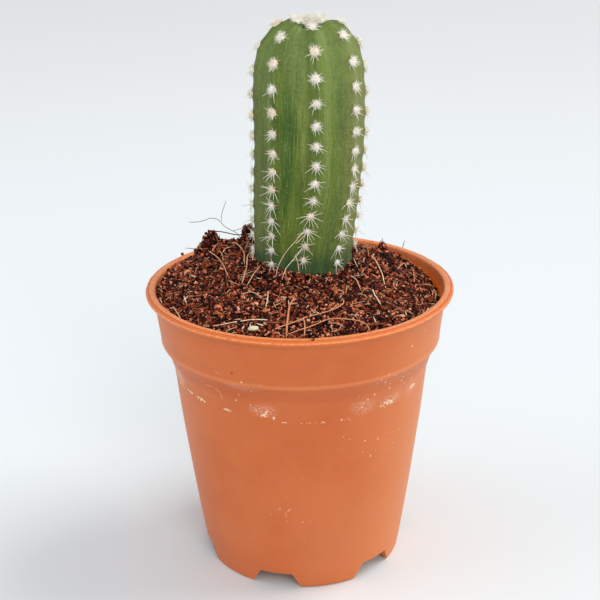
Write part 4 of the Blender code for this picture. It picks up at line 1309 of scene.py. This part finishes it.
def soil_height(x, y):
    """Height of the soil in millimetres at a place in millimetres."""
    angle = math.degrees(math.atan2(y, x))
    at_wall = WALL_HEIGHT + sum(rise * bell(angle, centre, width)
                                for centre, width, rise in WALL_DIPS)
    from_stem = Vector((x, y)) - Vector(STEM_PLACE.xy) / MM
    stem_angle = math.degrees(math.atan2(from_stem.y, from_stem.x))
    at_stem = STEM_HEIGHT + sum(rise * bell(stem_angle, centre, width)
                                for centre, width, rise in STEM_HEAPS)
    to_stem = max(0.0, from_stem.length - between(crest_by_height, at_stem))
    wall_radius = pot_inner_radius(at_wall * MM) / MM
    to_wall = max(0.0, wall_radius - math.hypot(x, y))
    share = to_stem / max(to_stem + to_wall, 0.1)
    height = at_stem + (at_wall - at_stem) * share ** 0.9
    for clumps, steepness in ((SOIL_CLUMPS, 2), (CLODS, 4)):
        for clump_x, clump_y, rise, spread in clumps:
            away = math.hypot(x - clump_x, y - clump_y)
            height += rise * math.exp(-((away / spread) ** steepness))
    wave = noise.noise(Vector((x, y, 0.0)) / SOIL_WAVE_SIZE)
    return height + SOIL_WAVE_RISE * wave * math.sin(math.pi * min(1.0, max(0.0, share)))


print("soil height left and right", round(soil_height(-25, 0), 1), round(soil_height(25, 0), 1))

# %% [markdown]
# The bed of the soil
# Under the loose crumbs lies a bed that closes the pot. It is a ring of quads between stem
# and wall, roughened by noise in two sizes, with its sides and underside closed so that
# nothing shows through the drain holes.

# %% Soil bed
BED_RINGS = 52
BED_SPOKES = 420
BED_UNDER_STEM = 69.0
BED_UNDER_SKIN = 1.6
BED_INTO_WALL = 0.2
# Size and depth of the roughness, in mm
CRUMB_RELIEF = [(3.6, 0.9), (1.1, 0.5)]
SOIL_SIDE_STEPS = 8


def bed_point(share, turn):
    """Place on the bed, from the stem (0) to the wall (1), in millimetres."""
    flat = Vector((math.cos(turn), math.sin(turn)))
    stem_radius = between(crest_by_height, STEM_HEIGHT)
    inner = Vector(STEM_PLACE.xy) / MM + flat * (stem_radius - BED_UNDER_SKIN)
    outer = flat * (pot_inner_radius(RIPPLE_FROM) / MM + BED_INTO_WALL)
    x, y = inner.lerp(outer, share)
    height = soil_height(x, y)
    calm = min(1.0, 4.0 * share * (1.0 - share) + 0.3)
    for size, depth in CRUMB_RELIEF:
        height += depth * calm * noise.noise(Vector((x, y, height)) / size)
    return Vector((x, y, height)) * MM


bm = bmesh.new()
rings = [[bm.verts.new(bed_point(ring / BED_RINGS, math.tau * spoke / BED_SPOKES))
          for spoke in range(BED_SPOKES)] for ring in range(BED_RINGS + 1)]
top_rings = len(rings)
for step in range(1, SOIL_SIDE_STEPS + 1):
    share = step / SOIL_SIDE_STEPS
    ring = []
    for spoke, vert in enumerate(rings[top_rings - 1]):
        height = vert.co.z + (FLOOR_TOP - vert.co.z) * share
        flat = Vector((vert.co.x, vert.co.y, 0.0)).normalized()
        place = flat * (pot_inner_radius(height) + 0.15 * MM)
        ring.append(bm.verts.new((place.x, place.y, height)))
    rings.append(ring)
rings.insert(0, [bm.verts.new((vert.co.x, vert.co.y, BED_UNDER_STEM * MM))
                 for vert in rings[0]])
for inner, outer in zip(rings, rings[1:]):
    for spoke in range(BED_SPOKES):
        after = (spoke + 1) % BED_SPOKES
        bm.faces.new((inner[spoke], outer[spoke], outer[after], inner[after]))
bm.faces.new(rings[0])
bm.faces.new(rings[-1])
bmesh.ops.recalc_face_normals(bm, faces=bm.faces)
bed = new_piece("soil_bed", bm)
bed.data.shade_smooth()
print("bed faces", len(bed.data.polygons))

# %% [markdown]
# Coir
# Coir is ground coconut husk: red-brown on the crumbs, with paler dry flecks. The bed under
# the crumbs is painted nearly black, as shade in the hollows between them. Each crumb and fibre
# carries one random number, and a colour ramp turns that number into its shade.

# %% Coir finish
def coir_material(name, stops, relief):
    finish, tree, shader = new_finish(name, Roughness=0.6, Specular_IOR_Level=0.16)
    grain = noise_value(tree, object_place(tree), 1300.0, 3.0)
    shade = kept_value(tree, "shade") + (grain - 0.5) * 0.5
    ramp = add_node(tree, "ShaderNodeValToRGB", {"Fac": shade})
    elements = ramp.color_ramp.elements
    for element, (position, colour) in zip(elements, (stops[0], stops[-1])):
        element.position = position
        element.color = (*colour, 1.0)
    for position, colour in stops[1:-1]:
        elements.new(position).color = (*colour, 1.0)
    link_up(tree, shader, {"Base Color": ramp.outputs["Color"],
                           "Normal": bump(tree, grain, relief)})
    return finish


# The bed is painted nearly black, as shade in the hollows between the crumbs
bed_finish = coir_material(
    "coir_bed", [(0.0, (0.006, 0.002, 0.0015)), (1.0, (0.045, 0.013, 0.006))], 0.3 * MM)
crumb_finish = coir_material(
    "coir_crumbs",
    [(0.0, (0.004, 0.0008, 0.0008)), (0.36, (0.020, 0.0026, 0.0016)),
     (0.56, (0.098, 0.0110, 0.0045)), (0.76, (0.290, 0.045, 0.015)),
     (0.91, (0.62, 0.150, 0.058)), (1.0, (0.86, 0.40, 0.25))],
    0.08 * MM)
fibre_finish = coir_material(
    "coir_fibre",
    [(0.0, (0.045, 0.012, 0.006)), (0.3, (0.21, 0.052, 0.020)), (0.6, (0.50, 0.150, 0.060)),
     (0.85, (0.76, 0.36, 0.18)), (0.95, (0.88, 0.56, 0.36)), (1.0, (0.90, 0.80, 0.54))],
    0.03 * MM)
bed.data.materials.append(bed_finish)
put_in_place(bed, "coir", "soil")

# %% [markdown]
# Scattering crumbs
# Crumbs are strewn over the top of the bed by a tree that spreads points, sets a small
# rough ball or block on each with its own size, turn and shade, and then shakes the corners
# of them all with noise so that no two are alike.

# %% Scatter tree
scatter_tree, given, end = new_geometry_tree(
    "scattered_bits",
    [("Density", FLOAT, 1.0), ("Apart", FLOAT, 0.0),
     ("Small", VECTOR, None), ("Large", VECTOR, None), ("Few Large", FLOAT, 2.0),
     ("Tilt", FLOAT, 0.5), ("Lowest", FLOAT, 0.0), ("Highest", FLOAT, 0.0),
     ("Ragged", FLOAT, 0.0), ("Ragged Scale", FLOAT, 1000.0), ("Angular", TRUTH, False),
     ("Seed", WHOLE, 1), ("Finish", MATERIAL, None)])
spread = add_node(scatter_tree, "GeometryNodeDistributePointsOnFaces",
                  {"Mesh": given["Geometry"], "Distance Min": given["Apart"],
                   "Density Max": given["Density"], "Seed": given["Seed"]},
                  distribute_method="POISSON")
facing_up = Arrow(scatter_tree, spread.outputs["Normal"])
lift = random_number(scatter_tree, given["Lowest"], given["Highest"], given["Seed"] + 1.0)
placed = move(scatter_tree, spread.outputs["Points"], Offset=facing_up * lift)
shaded = store(scatter_tree, placed, "shade",
               random_number(scatter_tree, 0.0, 1.0, given["Seed"] + 2.0))
chance = random_number(scatter_tree, 0.0, 1.0, given["Seed"] + 3.0).math(
    "POWER", given["Few Large"])
small, large = [Arrow(scatter_tree, given[title].socket) for title in ("Small", "Large")]
size = small + (large - small) * chance
size = size.math("MULTIPLY", random_arrow(scatter_tree, 0.7, 1.3, given["Seed"] + 4.0))
tilt = random_arrow(scatter_tree, -1.0, 1.0, given["Seed"] + 5.0)
tilt = tilt.math("MULTIPLY", vector_of(scatter_tree, given["Tilt"], given["Tilt"], math.pi))
tilt = add_node(scatter_tree, "FunctionNodeEulerToRotation", {"Euler": tilt})
turned = add_node(scatter_tree, "FunctionNodeRotateRotation",
                  {"Rotation": spread.outputs["Rotation"], "Rotate By": tilt.outputs[0]},
                  rotation_space="LOCAL")
ball = add_node(scatter_tree, "GeometryNodeMeshIcoSphere", {"Radius": 0.5, "Subdivisions": 1})
block = add_node(scatter_tree, "GeometryNodeMeshCube", {"Size": (0.8, 0.8, 0.8)})
bit = add_node(scatter_tree, "GeometryNodeSwitch",
               {"Switch": given["Angular"], "False": ball.outputs[0], "True": block.outputs[0]},
               input_type="GEOMETRY")
bits = add_node(scatter_tree, "GeometryNodeInstanceOnPoints",
                {"Points": shaded, "Instance": bit.outputs[0],
                 "Rotation": turned.outputs[0], "Scale": size})
bits = move(scatter_tree, realize(scatter_tree, bits.outputs[0]),
            Offset=noise_push(scatter_tree, given["Ragged Scale"]) * given["Ragged"])
realize_and_finish(scatter_tree, bits, given["Finish"], end, smooth=False)


def bed_top():
    """The upper face of the bed alone, to strew things on."""
    bm = bmesh.new()
    bm.from_mesh(bed.data)
    lowest = (BED_UNDER_STEM + 0.5) * MM
    under = [face for face in bm.faces
             if face.normal.z < 0.2 or min(vert.co.z for vert in face.verts) < lowest]
    bmesh.ops.delete(bm, geom=under, context="FACES")
    return new_piece("bed_top", bm)


ground = bed_top()
print("ground faces", len(ground.data.polygons))

# %% Crumbs
fine_crumbs = apply_tree("fine_crumbs", scatter_tree, {
    "Density": 4.6e6, "Apart": 0.30 * MM, "Small": (0.42 * MM, 0.34 * MM, 0.30 * MM),
    "Large": (1.35 * MM, 0.70 * MM, 0.55 * MM), "Few Large": 1.9, "Tilt": math.pi,
    "Lowest": -0.15 * MM, "Highest": 0.35 * MM, "Ragged": 0.40 * MM, "Ragged Scale": 2000.0,
    "Angular": True, "Seed": 4, "Finish": crumb_finish}, ground)
put_in_place(fine_crumbs, "coir")
coarse_crumbs = apply_tree("coarse_crumbs", scatter_tree, {
    "Density": 0.55e6, "Apart": 0.7 * MM, "Small": (0.75 * MM, 0.6 * MM, 0.5 * MM),
    "Large": (2.1 * MM, 1.2 * MM, 0.9 * MM), "Few Large": 3.0, "Tilt": 1.2,
    "Lowest": 0.0, "Highest": 0.8 * MM, "Ragged": 0.7 * MM, "Ragged Scale": 1200.0,
    "Seed": 14, "Finish": crumb_finish}, ground)
put_in_place(coarse_crumbs, "coir", "soil")
splinters = apply_tree("splinters", scatter_tree, {
    "Density": 0.35e6, "Apart": 0.4 * MM, "Small": (0.9 * MM, 0.16 * MM, 0.14 * MM),
    "Large": (4.2 * MM, 0.3 * MM, 0.2 * MM), "Few Large": 2.2, "Tilt": 0.5,
    "Lowest": 0.2 * MM, "Highest": 0.8 * MM, "Ragged": 0.5 * MM, "Ragged Scale": 500.0,
    "Seed": 24, "Finish": fibre_finish}, ground)
put_in_place(splinters, "coir", "soil")
drop(ground)

# %% [markdown]
# Long fibres
# The longest coir fibres catch the eye: most lie over the surface or arch a little clear of
# it, and some stand up at the back. Each row holds a width, a shade and a few places in mm,
# and a tree turns the smooth line through them into a wavering tube.

# %% Fibre tree
strand_tree, given, end = new_geometry_tree(
    "strands", [("Waver", FLOAT, 0.0), ("Waver Scale", FLOAT, 200.0), ("Sides", WHOLE, 5),
                ("Finish", MATERIAL, None)])
strands = add_node(strand_tree, "GeometryNodeMeshToCurve", {"Mesh": given["Geometry"]})
moved = move(strand_tree, strands.outputs[0],
             Offset=noise_push(strand_tree, given["Waver Scale"], 2.0) * given["Waver"])
tubes = tubes_along(strand_tree, moved, given["Sides"], 0.5, named(strand_tree, "width"))
realize_and_finish(strand_tree, tubes, given["Finish"], end)


def strand_lines(name, strands):
    """Edge chains with a width and a shade at each point, from (points, width, shade)."""
    bm = bmesh.new()
    width_layer = bm.verts.layers.float.new("width")
    shade_layer = bm.verts.layers.float.new("shade")
    for points, width, shade in strands:
        chain = []
        for index, point in enumerate(points):
            vert = bm.verts.new(Vector(point) * MM)
            ending = min(1.0, (index + 1) / 3, (len(points) - index) / 3)
            vert[width_layer] = width * MM * ending
            vert[shade_layer] = shade
            chain.append(vert)
        for pair in zip(chain, chain[1:]):
            bm.edges.new(pair)
    return new_piece(name, bm)


print("strand tree nodes", len(strand_tree.nodes))

# %% [markdown]
# The fibres themselves
# The third number of a lying place is its height above the soil, that of a standing one its
# height above the table. The last four standing rows are thin pale spines that hang down to
# the foot of the stem. Short random fibres fill in between.

# %% Long fibres
LYING = [
    (0.30, 0.95, [(-23.4, -27.3, 0.0), (-20.4, -28.2, 0.3), (-14.4, -27.7, 0.6),
                  (-10.9, -27.0, 0.5), (-6.1, -27.1, 0.0)]),
    (0.30, 0.80, [(-8.9, -34.6, 0.0), (-6.7, -32.7, 0.4), (-3.2, -30.7, 0.7),
                  (0.9, -27.9, 0.8), (6.7, -25.5, 0.8), (9.9, -22.9, 0.7),
                  (10.6, -20.7, 0.5), (10.4, -17.4, 0.0)]),
    (0.50, 0.72, [(-3.4, -35.0, 0.0), (-3.2, -29.9, 0.8), (-2.7, -24.2, 0.9),
                  (-2.3, -22.0, 0.6), (-0.7, -20.7, 0.0)]),
    (0.28, 0.82, [(-3.4, -34.1, 0.0), (1.8, -31.4, 0.5), (6.1, -28.9, 0.9),
                  (10.2, -28.7, 1.0), (15.0, -29.3, 0.7), (16.5, -31.4, 0.0)]),
    (0.28, 0.85, [(0.9, -35.1, 0.0), (1.0, -30.1, 0.7), (0.4, -28.3, 0.9),
                  (-0.8, -29.1, 0.0)]),
    (0.24, 0.75, [(7.4, -34.7, 0.0), (7.5, -29.7, 0.8)]),
    (0.28, 0.95, [(-8.0, -15.6, 0.5), (-8.0, -18.9, 0.6), (-8.3, -23.7, 0.0)]),
    (0.22, 0.60, [(-9.4, -17.4, 0.2), (-8.1, -22.4, 0.2)]),
    (0.32, 0.85, [(-31.8, -14.5, 0.2), (-30.6, -18.7, 0.5), (-29.1, -22.8, 0.0)]),
    (0.40, 0.95, [(-35.6, -7.8, 0.3), (-34.9, -11.3, 0.0)]),
    (0.40, 0.97, [(-29.3, -10.6, 0.5), (-28.3, -14.9, 0.2)]),
    (0.24, 0.50, [(8.1, -28.2, 0.3), (9.8, -26.2, 0.8), (12.7, -26.7, 0.4)]),
    (0.24, 0.75, [(10.2, -29.7, 0.5), (9.1, -32.2, 0.2)]),
    (0.32, 0.96, [(19.3, 11.7, 0.6), (20.3, 6.7, 0.9), (21.3, 1.6, 0.9),
                  (21.8, -2.5, 0.6), (22.0, -7.1, 0.0)]),
    (0.28, 0.85, [(26.1, 8.5, 0.0), (27.4, 12.0, 0.7), (28.4, 14.1, 0.9),
                  (28.9, 12.5, 0.3)]),
    (0.30, 0.78, [(30.1, 13.8, 0.4), (30.7, 12.0, 0.6), (30.7, 5.6, 0.0)]),
    (0.24, 0.66, [(21.9, -1.8, 0.0), (23.5, 2.2, 0.6), (25.5, 4.2, 0.7), (26.9, 5.4, 0.3)]),
    (0.34, 0.68, [(18.7, 16.5, 0.7), (18.7, 10.3, 0.4)]),
    (0.28, 0.72, [(14.8, -7.3, 0.0), (16.1, -1.8, 0.5), (17.4, 2.0, 0.4)]),
    (0.30, 0.88, [(12.9, -4.8, 1.0), (14.3, -7.0, 0.9), (15.4, -11.1, 0.0)]),
    (0.36, 0.98, [(18.2, -10.9, 0.4), (19.0, -14.8, 0.6), (20.0, -18.4, 0.2)]),
    (0.28, 0.90, [(34.4, -2.2, 0.2), (35.2, 1.3, 0.8), (35.6, -0.4, 0.7), (35.0, -4.3, 0.2)]),
    (0.30, 0.86, [(-24.7, 14.3, 0.6), (-22.6, 9.9, 0.8), (-20.4, 4.0, 0.8),
                  (-18.7, -2.9, 0.5), (-17.4, -6.9, 0.0)]),
    (0.28, 0.82, [(-21.7, 12.9, 0.6), (-20.7, 9.7, 0.8), (-20.1, 5.0, 0.4),
                  (-20.1, 3.1, 0.0)]),
    (0.30, 0.90, [(-18.5, 15.9, 0.5), (-17.2, 15.3, 0.8), (-16.0, 12.3, 0.9),
                  (-14.7, 6.7, 0.8), (-14.4, 2.1, 0.5), (-14.1, -1.2, 0.0)]),
    (0.26, 0.80, [(-13.5, 15.8, 0.6), (-14.1, 12.3, 0.8), (-14.6, 7.7, 0.5)]),
    (0.32, 0.92, [(-12.8, 6.1, 0.8), (-13.5, 3.7, 0.9), (-13.6, -1.4, 0.9),
                  (-14.0, -6.4, 0.6), (-14.6, -9.9, 0.0)]),
    (0.34, 0.97, [(-12.4, 7.8, 1.2), (-12.2, 3.9, 1.0), (-12.1, 0.9, 0.4)]),
    (0.34, 0.72, [(-32.6, 15.8, 1.6), (-33.2, 12.4, 1.0), (-33.1, 8.5, 0.0)]),
    (0.28, 0.70, [(-26.7, 7.2, 0.5), (-27.3, 3.8, 0.6), (-27.6, 0.8, 0.2)]),
    (0.28, 0.93, [(-9.9, -2.3, 0.5), (-11.6, -6.7, 0.7), (-13.3, -11.7, 0.1)]),
    (0.26, 0.72, [(-21.8, -3.7, 0.4), (-22.4, -7.5, 0.3)]),
    (0.28, 0.70, [(6.0, 29.5, 0.0), (14.0, 30.0, 1.6), (23.5, 24.5, 0.0)]),
    (0.28, 0.75, [(-2.0, 27.5, 0.0), (-9.0, 31.5, 1.2), (-18.5, 28.5, 0.0)]),
]
STANDING = [
    (0.17, 0.30, [(-16.4, 20.0, 81.6), (-17.3, 20.0, 83.2), (-18.7, 20.0, 84.0),
                  (-20.5, 20.0, 85.2), (-22.1, 20.0, 87.0), (-24.0, 20.0, 87.6),
                  (-25.7, 20.0, 87.0), (-27.9, 20.0, 86.5), (-30.1, 20.0, 86.5)]),
    (0.14, 0.30, [(-21.3, 20.0, 86.5), (-21.1, 20.0, 88.1), (-20.7, 20.0, 89.8),
                  (-19.7, 20.0, 92.6)]),
    (0.30, 0.12, [(-25.2, 19.5, 83.9), (-23.0, 19.5, 84.0), (-20.3, 19.5, 83.6),
                  (-17.9, 19.5, 83.0), (-15.4, 19.5, 82.7)]),
    (0.16, 0.25, [(-18.3, 19.0, 84.2), (-16.7, 19.0, 84.5), (-15.0, 19.0, 85.1)]),
    (0.20, 0.55, [(-31.1, 16.0, 80.4), (-29.2, 16.0, 80.3), (-27.6, 16.0, 80.2),
                  (-26.0, 14.6, 80.6), (-24.6, 13.6, 80.8)]),
    (0.20, 0.25, [(28.7, 27.3, 73.0), (29.1, 27.6, 75.4), (29.9, 28.0, 77.8)]),
    (0.17, 1.0, [(1.5, -7.6, 92.8), (-0.6, -8.1, 90.2), (-2.8, -8.2, 87.8),
                  (-4.1, -8.0, 85.7), (-5.2, -7.9, 83.4), (-6.0, -8.4, 80.6)]),
    (0.20, 1.0, [(0.9, -7.8, 87.9), (-1.6, -8.4, 85.2), (-3.4, -8.8, 82.9),
                  (-4.4, -9.6, 80.2)]),
    (0.17, 1.0, [(-1.1, -8.0, 86.2), (-0.6, -8.8, 84.6), (-0.1, -9.6, 82.4)]),
    (0.17, 1.0, [(1.7, -7.6, 91.5), (0.2, -8.1, 90.2), (-0.8, -8.3, 89.4)]),
]
SHORT_COUNT = 420
ABOVE_CRUMBS = 0.45
LONG_STEPS = 5
SHORT_STEPS = 3
STREWN_TO = 36.0
CLEAR_OF_STEM = 13.4
rng = random.Random(41)


def lying_strand(places, steps):
    """Points of a line smoothed over the soil; the third numbers are heights above it."""
    return [(x, y, soil_height(x, y) + ABOVE_CRUMBS + lift)
            for x, y, lift in curve_through(places, steps)]


strands = [(lying_strand(places, LONG_STEPS), width, shade) for width, shade, places in LYING]
strands += [(curve_through(places, LONG_STEPS), width, shade)
            for width, shade, places in STANDING]
while len(strands) < len(LYING) + len(STANDING) + SHORT_COUNT:
    x, y = rng.uniform(-STREWN_TO, STREWN_TO), rng.uniform(-STREWN_TO, STREWN_TO)
    heading = rng.uniform(0.0, math.tau)
    length = rng.uniform(1.2, 6.5) * rng.uniform(0.4, 1.0)
    step = Vector((math.cos(heading), math.sin(heading))) * length / 2
    side = Vector((-step.y, step.x)) * rng.uniform(-0.6, 0.6)
    places = [(x - step.x, y - step.y, -0.3), (x + side.x, y + side.y, rng.uniform(0.2, 0.8)),
              (x + step.x, y + step.y, rng.uniform(-0.3, 0.7))]
    inside = all(math.hypot(place[0], place[1]) < STREWN_TO for place in places)
    clear = all((Vector(place[:2]) - Vector(STEM_PLACE.xy) / MM).length > CLEAR_OF_STEM
                for place in places)
    if inside and clear:
        strands.append((lying_strand(places, SHORT_STEPS), rng.uniform(0.09, 0.22),
                        rng.random()))
lines = strand_lines("fibre_lines", strands)
fibres = apply_tree("long_fibres", strand_tree, {
    "Waver": 0.8 * MM, "Waver Scale": 150.0, "Sides": 5, "Finish": fibre_finish}, lines)
drop(lines)
put_in_place(fibres, "coir", "soil")

# %% [markdown]
# Grit
# A few bigger grains stand out of the dark mix: one pale pebble near the front, some pinkish
# crumbs and flat orange chips of husk. Each is a small ball pressed flat and roughened.

# %% Grit
# Place, length, width, turn in degrees and shade; on the lip place and size
GRIT = [
    (-11.2, -30.9, 2.4, 1.9, 20.0, 1.0), (24.8, -22.8, 1.5, 1.1, 0.0, 0.62),
    (18.9, -23.1, 1.0, 0.8, 40.0, 0.70), (-19.9, -20.2, 1.8, 1.4, 0.0, 0.40),
    (22.4, -8.9, 1.9, 1.7, 10.0, 0.02), (14.1, -22.1, 2.3, 1.0, -10.0, 0.12),
    (28.0, 0.0, 1.3, 0.8, 15.0, 0.25), (-19.9, -24.0, 2.4, 0.9, -20.0, 0.08),
    (-8.5, -23.7, 1.7, 1.3, 60.0, 0.15), (9.5, 29.0, 1.6, 1.2, 30.0, 0.65),
    (-24.0, -2.0, 1.3, 0.9, 70.0, 0.20), (5.0, -20.0, 1.6, 0.7, 5.0, 0.10),
]
GRIT_ON_LIP = [(-32.6, 22.3, 76.5, 1.1), (2.9, -38.9, 76.2, 0.9)]
GRIT_ROUGHNESS = 0.34
GRIT_GRAIN = 1800.0
GRIT_LIFT = 0.75

bm = bmesh.new()
shade_layer = bm.verts.layers.float.new("shade")


def add_grain(place, long, wide, tall, turn, shade):
    grain = bmesh.ops.create_icosphere(bm, subdivisions=3, radius=0.5 * MM)["verts"]
    spin = Matrix.Rotation(math.radians(turn), 3, "Z")
    for vert in grain:
        lump = 1.0 + GRIT_ROUGHNESS * noise.noise(vert.co * GRIT_GRAIN + Vector(place))
        vert.co = spin @ (Vector((vert.co.x * long, vert.co.y * wide, vert.co.z * tall)) * lump)
        vert.co += Vector(place) * MM
        vert[shade_layer] = shade


for x, y, long, wide, turn, shade in GRIT:
    add_grain((x, y, soil_height(x, y) + GRIT_LIFT), long, wide, 0.6 * wide, turn, shade)
for x, y, z, size in GRIT_ON_LIP:
    add_grain((x, y, z), size, size * 0.7, size * 0.7, 30.0, 0.0)
grit_finish = coir_material(
    "grit", [(0.0, (0.13, 0.035, 0.012)), (0.06, (0.42, 0.120, 0.026)),
             (0.3, (0.62, 0.170, 0.070)), (0.65, (0.72, 0.36, 0.26)),
             (0.9, (0.62, 0.58, 0.37)), (1.0, (0.70, 0.66, 0.45))], 0.14 * MM)
grit = new_piece("grit", bm, grit_finish)
grit.data.shade_smooth()
put_in_place(grit, "coir", "soil")

# %% [markdown]
# Tidying up
# The crest line only guided the trees, so it is dropped.

# %% Drop the crest line
drop(crest_line)
